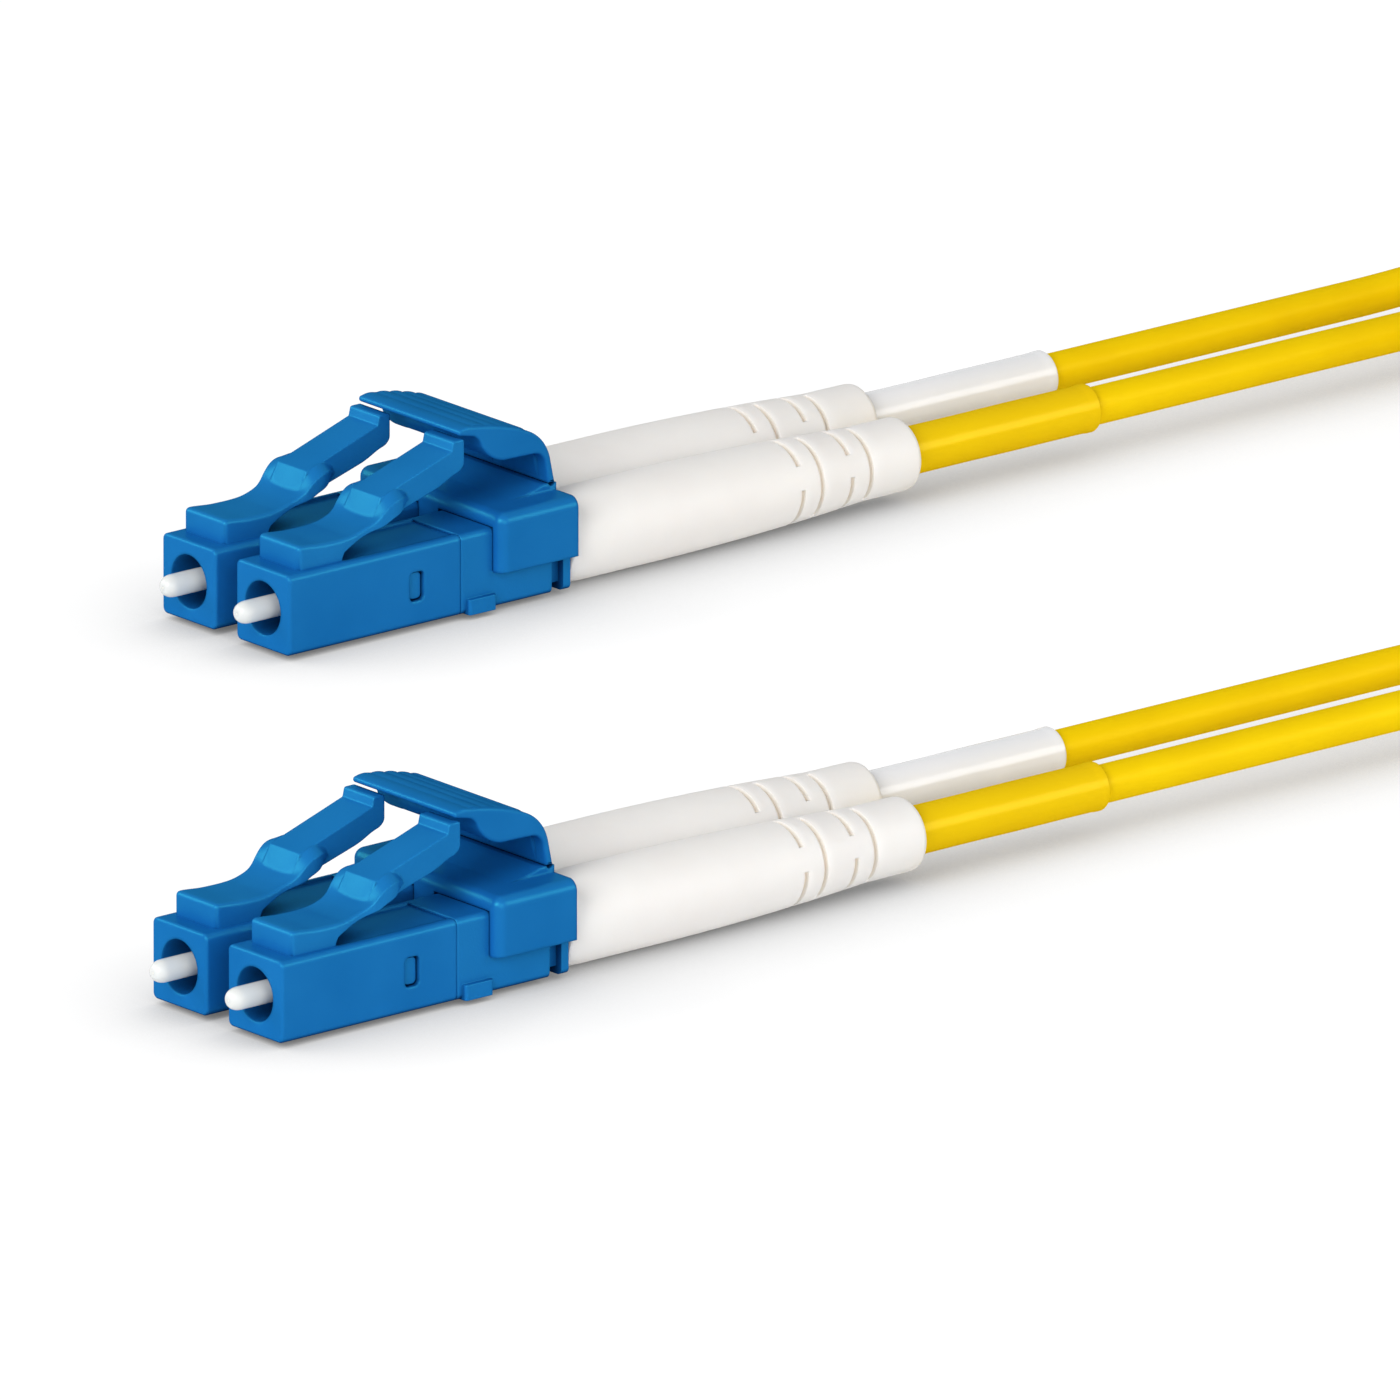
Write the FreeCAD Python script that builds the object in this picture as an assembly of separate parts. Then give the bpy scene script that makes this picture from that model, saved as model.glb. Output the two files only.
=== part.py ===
import FreeCAD, Part
import math
import os

V = FreeCAD.Vector

# Duplex fiber patch cord, in millimetres. Each plug is drawn with X along its axis from the
# front face (x = 0) towards the cable, Y across and Z up from the axis. Lanes and ends are
# then placed from the values below. The floor is z = 0 in the finished part.

# Layout of the two ends
PLUG_PITCH = 6.25          # between the two ferrule axes of one end
END_STEP_X = 44.0          # end b lies this far ahead of end a
END_STEP_Y = 53.0          # and this far to its side

# Front housing: the plug nose with its socket
NOSE_LENGTH = 11.9
NOSE_SIDE = 4.5
NOSE_ROUND = 0.35
FACE_ROUND = 0.15
SEAM_ROUND = 0.08          # the edges where the two housings meet
SOCKET_D = 3.0
SOCKET_DEPTH = 4.2
SEAT_WALL = 0.8
WINDOW_SETBACK = 3.55       # ahead of the joint of the two housings
WINDOW_LENGTH = 0.98
WINDOW_HEIGHT = 1.65
WINDOW_CORNER = 0.25
RECESS_DEPTH = 0.15        # shallow recess along the top of the nose, under the lever
RECESS_WIDTH = 3.5

# Latch root: a block on the nose that holds the lever's bending neck
ROOT_X = 1.15
ROOT_WIDTH = 3.3
ROOT_HEIGHT = 1.25
ROOT_BEVEL = 0.18
ROOT_DIP = 0.12
ROOT_DIP_X = 1.5           # behind the root's front
ROOT_SUNK = 0.5
ROOT_UNDERCUT = 0.45
NECK_X = 4.75
NECK_THICK = 0.56
NECK_RISE = 0.82           # neck centre above the top of the nose
NECK_GAP = 0.03
NECK_LIP = 0.1             # the root stops this far ahead of the neck's centre

# Latch lever; the curves are offsets from the neck's centre and from the raised lip
LEVER_RAMP = ((1.05, 0.48), (2.05, 0.98), (2.75, 1.65), (3.9, 1.78))
LEVER_UNDER = ((3.9, 0.98), (2.25, 0.55))
LEVER_STEP = ((1.8, 0.73), (2.4, 2.03))
LEVER_FLARE = (1.15, 2.25)
LEVER_LIP = (
    (-0.7, -0.35), (-0.4, 0.0), (0.0, -0.08), (0.0, -1.42), (-0.3, -1.7), (-0.8, -1.82), (-1.75, -2.34),
)
EAR_WIDTH = 4.2
ARM_WIDTH = 2.5
LIP_REACH = 0.12           # the lip ends this far behind the trigger's nose
LIP_GAP = 0.19             # and this far below it

# Rear housing
REAR_LENGTH = 7.6
SLEEVE_ROOM = 1.1          # its sleeve starts this far behind the ferrule's flange
SLEEVE_WALL = 0.35
SLEEVE_GAP = 0.05
TAB_GAP = 0.1
TAB_SUNK = 0.2             # snap tab below the nose's side
GROOVE_SETBACK = 1.3       # ahead of the rear face
GROOVE_WIDTH = 0.8
GROOVE_DEPTH = 0.45
FOOT_SETBACK = 0.35         # behind the joint of the two housings
FOOT_LENGTH = 1.9
FOOT_HEIGHT = 0.85
FOOT_PROUD = 0.3
FOOT_ROUND = 0.18

# Ferrule group
FERRULE_D = 1.25
FERRULE_PROUD = 1.8
FERRULE_SEAT = 1.1         # ferrule length inside its flange
FERRULE_ROUND = 0.22
FERRULE_TAPER = 0.025      # the seated end is a lead-in, this much smaller in radius at its end
FERRULE_BORE_D = 0.14
FERRULE_TRAVEL = 1.2
GLASS_D = 0.125
BUFFER_D = 0.9
FLANGE_D = 2.45
FLANGE_LENGTH = 1.55
FLANGE_BEVEL = 0.2
COLLAR_D = 1.8
COLLAR_LENGTH = 1.45
COLLAR_GAP = 0.075
FLANGE_GAP = 0.05
FLANGE_ROOM = 0.125
CHAMBER_ROOM = 0.225
BOND_GAP = 0.01
BUFFER_GAP = 0.05
GUIDE_WALL = 0.225
GUIDE_ROOM = 0.075
SPRING_ROOM = 0.1          # between the guide tube and the spring
SPRING_WIRE_D = 0.3
SPRING_TURNS = 6

# Back post and crimp sleeve
POST_SETBACK = 0.5         # behind the joint of the two housings
POST_COLLAR_D = 2.9
POST_COLLAR_LENGTH = 1.6
POST_WAIST_D = 2.6
POST_BARREL_D = 2.4
POST_BARREL_LENGTH = 5.1
POST_FIT = 0.05
CRIMP_WALL = 0.4
CRIMP_OVERHANG = 0.8       # past the post's barrel
CRIMP_GAP = 0.05
CRIMP_BEVEL = 0.1
JACKET_GAP = 0.1

# Boot and marker sleeve
BOOT_LENGTH = 24.8
BOOT_GAP = 0.1
BOOT_BASE_R = 2.45
BOOT_FULL_R = 2.55
BOOT_TIP_R = 2.05
BOOT_END_R = 2.03
BOOT_SHOULDER = 1.6        # from the boot's front to its full radius
BOOT_CREST = 6.4           # from the boot's front to where it starts to narrow
BOOT_TIP_LENGTH = 3.4
BOOT_END_ROUND = 0.25
RING_SETBACKS = (8.8, 7.4, 5.2, 3.8)
RING_WIDTH = 0.3
RING_DEPTH = 0.5
RING_ARC = 144.0
RING_LEAN = 70.0           # the first ring's cuts are centred this far above the side
RING_TURN = 90.0           # from one ring to the next, round the axis
FAR_EXTRA = 2.2            # the far lane's boots are longer by this, as in the photo
MARKER_LENGTH = 19.6
MARKER_INSERT = 6.4        # inside the boot
MARKER_WALL = 0.2
MARKER_PLAY = 0.075
MARKER_GAP = 0.06

# Duplex clip
CLIP_LENGTH = 5.4
CLIP_SETBACK = 0.05        # ahead of the housings' rear faces
CLIP_WALL = 0.7
CLIP_GAP = 0.05
CLIP_TOP = 0.8             # plate thickness above the housings
CLIP_SKIRT = 0.2           # the outer walls end this far below the plug axis
CLIP_ROUND = 0.6
SADDLE_SETBACK = 1.25      # behind the clip's front
SADDLE_FLAT = 0.6
SADDLE_SAG = 0.1
SADDLE_WIDTH = 8.5
KNUCKLE_SETBACK = 0.3      # knuckle axis ahead of the clip's rear face
KNUCKLE_RISE = 0.5         # knuckle axis above the clip's plate
KNUCKLE_PROUD = 0.08       # and above the saddle
KNUCKLE_D = 0.44
KNUCKLE_GAP = 0.03

# Trigger; the curves are offsets from the knuckle's axis and from the underside of the nose
TRIGGER_WIDTH = 8.5
TRIGGER_REACH = 6.3
TRIGGER_RISE = 3.76
TRIGGER_NOSE_THICK = 0.34
TRIGGER_NOSE_BULGE = 0.17
TRIGGER_BACK = ((-2.17, 3.55), (-0.75, 2.8), (-0.03, 1.4))
TRIGGER_BELLY_REAR = ((-0.37, 1.0), (-0.6, 1.5), (-1.2, 1.77))
TRIGGER_BELLY_FRONT = ((2.98, -1.94), (2.1, -1.56), (1.5, -0.89), (1.1, -0.26), (0.6, -0.05))
TRIGGER_POCKET_REAR = ((-2.3, 2.95), (-1.2, 2.35), (-0.65, 1.3), (-0.75, 0.8))
TRIGGER_POCKET_FRONT = ((1.05, -2.36), (1.35, -0.46))
TRIGGER_RIB = 0.8
TREAD_COUNT = 4
TREAD_SETBACK = 0.5
TREAD_PITCH = 0.7
TREAD_LENGTH = 0.49
TREAD_RISE = 0.12
TREAD_SUNK = 0.15
TREAD_INSET = 0.4

# Cord: two round strands, joined by a thin web between the splits
STRAND_D = 2.1
WEB_THICK = 0.7
STRAND_STEP = 2.15         # between the two strand centres where they are joined

# Coil of the put-away length, two layers of two and a half turns and a climbing half turn
COIL_X = 102.0
COIL_R = 26.5
COIL_PITCH = 3.0
COIL_HALF_TURNS = 5
COIL_LEAD = 4.4
LAYER_GAP = 0.45
CLIMB_SLOPE = 0.12
CLIMB_INSET = 0.7          # the climb passes this far inside the innermost turn

# Ties round the coil
TIE_THICK = 0.65
TIE_WIDTH = 2.5
TIE_GAP = 0.05
TIE_SIDE_GAP = 0.65
TIE_ROUND = 0.55
TIE_HEAD_LENGTH = 3.2
TIE_HEAD_WIDTH = 4.0
TIE_HEAD_HEIGHT = 2.2
TIE_HEAD_ROUND = 0.4
TIE_TAIL = 3.0             # past the head

# The routes of the strands, chosen by hand, from each boot to the start of the web
LEG_ROUTES = {
    "strand_leg_a1": (
        (17.7, 23.375, 2.55), (78.3, 23.375, 2.55), (85.5, 25.2, 1.83),
        (92.6, 26.5, 1.75), (97.6, 26.5, 1.75),
    ),
    "strand_leg_a2": (
        (17.7, 29.625, 2.55), (78.3, 29.625, 2.55), (85.5, 27.8, 3.83),
        (92.6, 26.5, 3.9), (97.6, 26.5, 3.9),
    ),
    "strand_leg_b1": (
        (-26.3, -29.625, 2.55), (34.3, -29.625, 2.55), (41.5, -28.0, 1.16),
        (48.6, -26.762, 1.082), (53.6, -26.762, 1.082),
    ),
    "strand_leg_b2": (
        (-26.3, -23.375, 2.55), (34.3, -23.375, 2.55), (41.5, -25.0, 3.1),
        (48.6, -26.238, 3.168), (53.6, -26.238, 3.168),
    ),
}

# The route of the joined pair down from the coil's upper layer to end b's split
LEAD_ROUTE = ((97.6, -26.5, 7.525), (84.0, -26.5, 7.525), (68.5, -26.5, 2.125), (53.6, -26.5, 2.125))

# How far a cutting tool runs past the faces it opens, and how close a found edge lies to its place
PAST = 1.0
FOUND = 0.01

# Sizes that follow from the ones above
HALF = NOSE_SIDE / 2
AXIS_Z = BOOT_FULL_R
LANE_Y = PLUG_PITCH / 2
REAR_END_X = NOSE_LENGTH + REAR_LENGTH
GROOVE_X = REAR_END_X - GROOVE_SETBACK
WINDOW_X = NOSE_LENGTH - WINDOW_SETBACK
FOOT_X = NOSE_LENGTH + FOOT_SETBACK
POST_X = NOSE_LENGTH + POST_SETBACK
POST_END_X = REAR_END_X + POST_BARREL_LENGTH
JACKET_X = POST_END_X + JACKET_GAP
CRIMP_END_X = POST_END_X + CRIMP_OVERHANG
BOOT_X = REAR_END_X + BOOT_GAP
BOOT_END_X = BOOT_X + BOOT_LENGTH
MARKER_X = BOOT_END_X - MARKER_INSERT
MARKER_END_X = MARKER_X + MARKER_LENGTH
SEAT_BACK_X = SOCKET_DEPTH + SEAT_WALL
FLANGE_X = SEAT_BACK_X + FLANGE_GAP
FLANGE_END_X = FLANGE_X + FLANGE_LENGTH
SLEEVE_X = FLANGE_END_X + SLEEVE_ROOM
COLLAR_X = FLANGE_X - COLLAR_LENGTH
FERRULE_END_X = COLLAR_X + FERRULE_SEAT
BUFFER_END_X = JACKET_X - FERRULE_TRAVEL - 2 * JACKET_GAP
SLEEVE_BORE_D = FLANGE_D + 2 * FLANGE_ROOM
SLEEVE_D = SLEEVE_BORE_D + 2 * SLEEVE_WALL
POST_POCKET_D = POST_COLLAR_D + 2 * POST_FIT
GUIDE_BORE_D = BUFFER_D + 2 * BUFFER_GAP
GUIDE_D = GUIDE_BORE_D + 2 * GUIDE_WALL
POST_BORE_D = GUIDE_D + 2 * GUIDE_ROOM
SPRING_R = GUIDE_D / 2 + SPRING_ROOM + SPRING_WIRE_D / 2
CRIMP_BORE_D = POST_BARREL_D + 2 * CRIMP_GAP
CRIMP_D = CRIMP_BORE_D + 2 * CRIMP_WALL
STRAND_R = STRAND_D / 2
MARKER_BORE_D = STRAND_D + 2 * MARKER_PLAY
MARKER_D = MARKER_BORE_D + 2 * MARKER_WALL
NECK_R = NECK_THICK / 2
NECK_Z = HALF + NECK_RISE
ROOT_END_X = NECK_X - NECK_LIP
ROOT_FOOT_X = ROOT_END_X - ROOT_UNDERCUT
CLIP_END_X = REAR_END_X - CLIP_SETBACK
CLIP_X = CLIP_END_X - CLIP_LENGTH
CLIP_Z = HALF + CLIP_GAP + CLIP_TOP
KNUCKLE_X = CLIP_END_X - KNUCKLE_SETBACK
KNUCKLE_Z = CLIP_Z + KNUCKLE_RISE
KNUCKLE_R = KNUCKLE_D / 2
TRIGGER_NOSE_X = KNUCKLE_X - TRIGGER_REACH
TRIGGER_NOSE_Z = KNUCKLE_Z + TRIGGER_RISE
LIP_X = TRIGGER_NOSE_X + LIP_REACH
LIP_Z = TRIGGER_NOSE_Z - LIP_GAP
END_B_X = (FERRULE_PROUD - END_STEP_X - MARKER_END_X - FAR_EXTRA) / 2
END_A_X = END_B_X + END_STEP_X
ZIP_HEIGHT = STRAND_STEP + STRAND_D
COIL_BASE = TIE_THICK + TIE_GAP
LAYER_Z = (COIL_BASE + ZIP_HEIGHT / 2, COIL_BASE + ZIP_HEIGHT * 3 / 2 + LAYER_GAP)
COIL_STEP = COIL_PITCH / 2
COIL_INNER_R = COIL_R - COIL_HALF_TURNS * COIL_STEP


# Helpers

def box(x0, x1, y0, y1, z0, z1):
    return Part.makeBox(x1 - x0, y1 - y0, z1 - z0, V(x0, y0, z0))


def rod(diameter, x0, x1):
    return Part.makeCylinder(diameter / 2, x1 - x0, V(x0, 0, 0), V(1, 0, 0))


def tube(outer, inner, x0, x1):
    return rod(outer, x0, x1).cut(rod(inner, x0 - PAST, x1 + PAST))


def cross_pin(radius, width, x, z):
    """A round pin along Y, centred across the plug."""
    return Part.makeCylinder(radius, width, V(x, -width / 2, z), V(0, 1, 0))


def edges_along(shape, direction, test):
    """The straight edges along a direction whose middle passes the test."""
    found = []
    for edge in shape.Edges:
        if not isinstance(edge.Curve, Part.Line):
            continue
        start, end = edge.Vertexes[0].Point, edge.Vertexes[-1].Point
        way = (end - start).normalize()
        if abs(way.dot(direction)) > 0.99 and test((start + end) * 0.5):
            found.append(edge)
    return found


def face_edges(shape, x):
    """The edges that lie in the plane at one place along X."""
    return [e for e in shape.Edges if abs(e.BoundBox.Center.x - x) < FOUND and e.BoundBox.XLength < FOUND]


def ring_edges(shape, x, radius):
    """The round edges at one place along X that are at least this large."""
    return [
        e for e in shape.Edges
        if abs(e.BoundBox.Center.x - x) < FOUND and e.BoundBox.XLength < FOUND
        and e.BoundBox.YLength > 2 * (radius - FOUND)
    ]


def shifted(points, x, z):
    return [(x + dx, z + dz) for dx, dz in points]


def outline(*pieces):
    """A closed wire in XZ from pieces: 2 points make a line and 3 points an arc."""
    edges = []
    for piece in pieces:
        points = [V(x, 0, z) for x, z in piece]
        if len(points) == 2:
            edges.append(Part.LineSegment(*points).toShape())
        else:
            edges.append(Part.Arc(*points).toShape())
    return Part.Wire(edges)


def polygon(points):
    """A closed wire in XZ with straight sides."""
    return outline(*zip(points, points[1:] + points[:1]))


def slab(wire, y0, y1):
    """The solid that an XZ outline sweeps from y0 to y1."""
    face = Part.Face(wire)
    face.translate(V(0, y0, 0))
    return face.extrude(V(0, y1 - y0, 0))


def arc_between(start, apex, end):
    """The arc that leaves start towards apex and comes to end from it, both alike far."""
    middle = (start + end) * 0.5
    half = (end - start).Length / 2
    rise = (apex - middle).Length
    lift = half * math.tan(math.atan2(rise, half) / 2)
    crown = middle + (apex - middle).normalize() * lift
    return Part.Arc(start, crown, end).toShape()


def biarc(start, way_in, end, way_out):
    """Two arcs, tangent to each other, from start along way_in to end along way_out."""
    way_in.normalize()
    way_out.normalize()
    across = end - start
    both = way_in + way_out
    square = 2 * (1 - way_in.dot(way_out))
    lean = across.dot(both)
    reach = (math.sqrt(lean * lean + square * across.dot(across)) - lean) / square
    first = start + way_in * reach
    second = end - way_out * reach
    joint = (first + second) * 0.5
    return [arc_between(start, first, joint), arc_between(joint, second, end)]


def route_edges(points):
    """Straight runs joined by tangent arcs, each as large as its two runs allow."""
    points = [V(*p) for p in points]
    edges = []
    last = points[0]
    for before, corner, after in zip(points, points[1:], points[2:]):
        way_in = (corner - before).normalize()
        way_out = (after - corner).normalize()
        cut = 0.45 * min((corner - before).Length, (after - corner).Length)
        start = corner - way_in * cut
        end = corner + way_out * cut
        edges.append(Part.LineSegment(last, start).toShape())
        edges.append(arc_between(start, corner, end))
        last = end
    edges.append(Part.LineSegment(last, points[-1]).toShape())
    return edges


# Front housing

def latch_root():
    top = HALF + ROOT_HEIGHT
    low = HALF - ROOT_SUNK
    wire = outline(
        ((ROOT_X, low), (ROOT_X, top - ROOT_BEVEL)),
        ((ROOT_X, top - ROOT_BEVEL), (ROOT_X + ROOT_BEVEL, top)),
        ((ROOT_X + ROOT_BEVEL, top), (ROOT_X + ROOT_DIP_X, top - ROOT_DIP), (ROOT_END_X, NECK_Z + NECK_R)),
        ((ROOT_END_X, NECK_Z + NECK_R), (ROOT_END_X, NECK_Z - NECK_R)),
        ((ROOT_END_X, NECK_Z - NECK_R), (ROOT_FOOT_X - NECK_R, NECK_Z - 2 * NECK_R), (ROOT_FOOT_X, low)),
        ((ROOT_FOOT_X, low), (ROOT_X, low)),
    )
    block = slab(wire, -ROOT_WIDTH / 2, ROOT_WIDTH / 2)
    return block.cut(cross_pin(NECK_R + NECK_GAP, ROOT_WIDTH + 2 * PAST, NECK_X, NECK_Z))


def window(side, shrink):
    """The snap window in one side wall, as a solid; shrink draws every edge in."""
    x0 = WINDOW_X + shrink
    x1 = WINDOW_X + WINDOW_LENGTH - shrink
    half = WINDOW_HEIGHT / 2 - shrink
    y0, y1 = sorted((side * (SLEEVE_BORE_D + SLEEVE_D) / 4, side * (HALF + PAST)))
    shape = box(x0, x1, y0, y1, -half, half)
    return shape.makeFillet(WINDOW_CORNER, edges_along(shape, V(0, 1, 0), lambda p: True))


def front_housing():
    shape = box(0, NOSE_LENGTH, -HALF, HALF, -HALF, HALF)
    shape = shape.makeFillet(NOSE_ROUND, edges_along(shape, V(1, 0, 0), lambda p: True))
    shape = shape.makeFillet(FACE_ROUND, [e for e in shape.Edges if e.BoundBox.XMax < FACE_ROUND])
    shape = shape.makeFillet(SEAM_ROUND, face_edges(shape, NOSE_LENGTH))
    half = RECESS_WIDTH / 2
    shape = shape.cut(box(ROOT_FOOT_X, NOSE_LENGTH + PAST, -half, half, HALF - RECESS_DEPTH, HALF + PAST))
    shape = shape.fuse(latch_root())
    shape = shape.cut(rod(SOCKET_D, -PAST, SOCKET_DEPTH))
    shape = shape.cut(rod(COLLAR_D + 2 * COLLAR_GAP, 0, SEAT_BACK_X + FLANGE_GAP))
    shape = shape.cut(rod(FLANGE_D + 2 * CHAMBER_ROOM, SEAT_BACK_X, SLEEVE_X))
    shape = shape.cut(rod(SLEEVE_D + 2 * SLEEVE_GAP, SLEEVE_X - SLEEVE_GAP, NOSE_LENGTH + PAST))
    for side in (-1, 1):
        shape = shape.cut(window(side, 0.0))
    return shape.removeSplitter()


# Latch lever

def latch_lever():
    ramp = shifted(LEVER_RAMP, NECK_X, NECK_Z)
    under = shifted(LEVER_UNDER, NECK_X, NECK_Z)
    neck_top = (NECK_X, NECK_Z + NECK_R)
    neck_low = (NECK_X, NECK_Z - NECK_R)
    side_view = outline(
        (neck_top, ramp[0], ramp[1]),
        ramp[1:],
        (ramp[3], under[0]),
        under,
        (under[1], neck_low),
        (neck_low, neck_top),
    )
    half_root, half_ear = ROOT_WIDTH / 2, EAR_WIDTH / 2
    start, end = NECK_X + LEVER_FLARE[0], NECK_X + LEVER_FLARE[1]
    corners = [(0, half_root), (start, half_root), (end, half_ear), (LIP_X, half_ear)]
    corners += [(x, -y) for x, y in reversed(corners)]
    plan = Part.Face(Part.makePolygon([V(x, y, 0) for x, y in corners + corners[:1]]))
    ears = slab(side_view, -half_ear, half_ear).common(plan.extrude(V(0, 0, LIP_Z)))
    step = shifted(LEVER_STEP, NECK_X, NECK_Z)
    arm = slab(polygon(step + shifted(LEVER_LIP, LIP_X, LIP_Z) + under), -ARM_WIDTH / 2, ARM_WIDTH / 2)
    return ears.fuse([arm, cross_pin(NECK_R, ROOT_WIDTH, NECK_X, NECK_Z)]).removeSplitter()


# Rear housing

def groove_ring():
    wide, inner = HALF + PAST, HALF - GROOVE_DEPTH
    end = GROOVE_X + GROOVE_WIDTH
    ring = box(GROOVE_X, end, -wide, wide, -wide, wide)
    return ring.cut(box(GROOVE_X - PAST, end + PAST, -inner, inner, -inner, inner))


def foot(side):
    y0, y1 = sorted((side * (HALF - FOOT_PROUD), side * (HALF + FOOT_PROUD)))
    shape = box(FOOT_X, FOOT_X + FOOT_LENGTH, y0, y1, -HALF, FOOT_HEIGHT - HALF)
    return shape.makeFillet(FOOT_ROUND, edges_along(shape, V(0, 0, 1), lambda p: abs(p.y) > HALF))


def snap_tab(side):
    reach = HALF - TAB_SUNK
    return window(side, TAB_GAP).common(box(0, NOSE_LENGTH, -reach, reach, -HALF, HALF))


def rear_housing():
    shape = box(NOSE_LENGTH, REAR_END_X, -HALF, HALF, -HALF, HALF)
    shape = shape.makeFillet(NOSE_ROUND, edges_along(shape, V(1, 0, 0), lambda p: True))
    shape = shape.makeFillet(SEAM_ROUND, face_edges(shape, NOSE_LENGTH))
    shape = shape.cut(groove_ring())
    shape = shape.fuse(rod(SLEEVE_D, SLEEVE_X, NOSE_LENGTH + PAST))
    for side in (-1, 1):
        shape = shape.fuse([foot(side), snap_tab(side)])
    shape = shape.cut(rod(SLEEVE_BORE_D, 0, POST_X + POST_FIT))
    shape = shape.cut(rod(POST_POCKET_D, POST_X, REAR_END_X + PAST))
    return shape.removeSplitter()


# Ferrule group

def ferrule():
    radius = FERRULE_D / 2
    shape = rod(FERRULE_D, -FERRULE_PROUD, COLLAR_X)
    shape = shape.makeFillet(FERRULE_ROUND, ring_edges(shape, -FERRULE_PROUD, radius))
    start = V(COLLAR_X, 0, 0)
    seat = Part.makeCone(radius, radius - FERRULE_TAPER, FERRULE_SEAT, start, V(1, 0, 0))
    shape = shape.fuse(seat)
    return shape.cut(rod(FERRULE_BORE_D, -FERRULE_PROUD - PAST, FERRULE_END_X + PAST))


def ferrule_flange():
    disc = rod(FLANGE_D, FLANGE_X, FLANGE_END_X)
    disc = disc.makeChamfer(FLANGE_BEVEL, ring_edges(disc, FLANGE_X, FLANGE_D / 2))
    shape = disc.fuse(rod(COLLAR_D, COLLAR_X, FLANGE_X + FLANGE_LENGTH / 2))
    seat = FERRULE_END_X + BOND_GAP
    shape = shape.cut(rod(FERRULE_D + 2 * BOND_GAP, COLLAR_X - PAST, seat))
    shape = shape.cut(rod(GUIDE_BORE_D, seat - PAST, FLANGE_END_X + PAST))
    return shape.removeSplitter()


def ferrule_spring():
    start = FLANGE_END_X + POST_FIT + SPRING_WIRE_D / 2
    length = POST_X - SPRING_WIRE_D / 2 - start
    path = Part.makeHelix(length / SPRING_TURNS, length, SPRING_R)
    section = Part.Wire(Part.makeCircle(SPRING_WIRE_D / 2, V(SPRING_R, 0, 0), V(0, 1, 0)))
    coil = Part.Wire(path.Edges).makePipeShell([section], True, True)
    coil.rotate(V(0, 0, 0), V(0, 1, 0), 90)
    coil.translate(V(start, 0, 0))
    return coil


def guide_tube():
    return tube(GUIDE_D, GUIDE_BORE_D, FLANGE_END_X + BOND_GAP, REAR_END_X)


def buffered_fiber():
    buffer_x = FERRULE_END_X + 2 * BOND_GAP
    glass = rod(GLASS_D, -FERRULE_PROUD, buffer_x + BUFFER_D)
    return rod(BUFFER_D, buffer_x, BUFFER_END_X).fuse(glass).removeSplitter()


# Back post, crimp sleeve, boot and marker sleeve

def backpost():
    start = POST_X + POST_FIT
    waist_end = REAR_END_X - POST_COLLAR_LENGTH
    shape = rod(POST_COLLAR_D, start, start + POST_COLLAR_LENGTH)
    shape = shape.fuse(rod(POST_WAIST_D, start, waist_end))
    shape = shape.fuse(rod(POST_COLLAR_D, waist_end, REAR_END_X))
    shape = shape.fuse(rod(POST_BARREL_D, waist_end, POST_END_X))
    return shape.cut(rod(POST_BORE_D, start - PAST, POST_END_X + PAST)).removeSplitter()


def crimp_sleeve():
    shape = tube(CRIMP_D, CRIMP_BORE_D, BOOT_X, CRIMP_END_X)
    rims = ring_edges(shape, BOOT_X, CRIMP_D / 2) + ring_edges(shape, CRIMP_END_X, CRIMP_D / 2)
    return shape.makeChamfer(CRIMP_BEVEL, rims)


def boot_radius(x):
    """The boot's outer radius along its arc, which leaves the full radius level."""
    crest_x = BOOT_X + BOOT_CREST
    span = BOOT_END_X - BOOT_TIP_LENGTH - crest_x
    drop = BOOT_FULL_R - BOOT_TIP_R
    arc_r = (span ** 2 + drop ** 2) / (2 * drop)
    return BOOT_FULL_R - arc_r + math.sqrt(arc_r ** 2 - (x - crest_x) ** 2)


def boot_ring(x, turn, extra):
    """One cut of a flexing ring: an arc of a thin disc, sunk into the boot's wall."""
    outer = boot_radius(x)
    ring = Part.makeCylinder(outer + PAST, RING_WIDTH, V(x, 0, 0), V(1, 0, 0), RING_ARC)
    ring = ring.cut(rod(2 * (outer - RING_DEPTH), x - PAST, x + RING_WIDTH + PAST))
    ring.rotate(V(0, 0, 0), V(1, 0, 0), turn - RING_ARC / 2 - 90)
    ring.translate(V(extra, 0, 0))
    return ring


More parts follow.
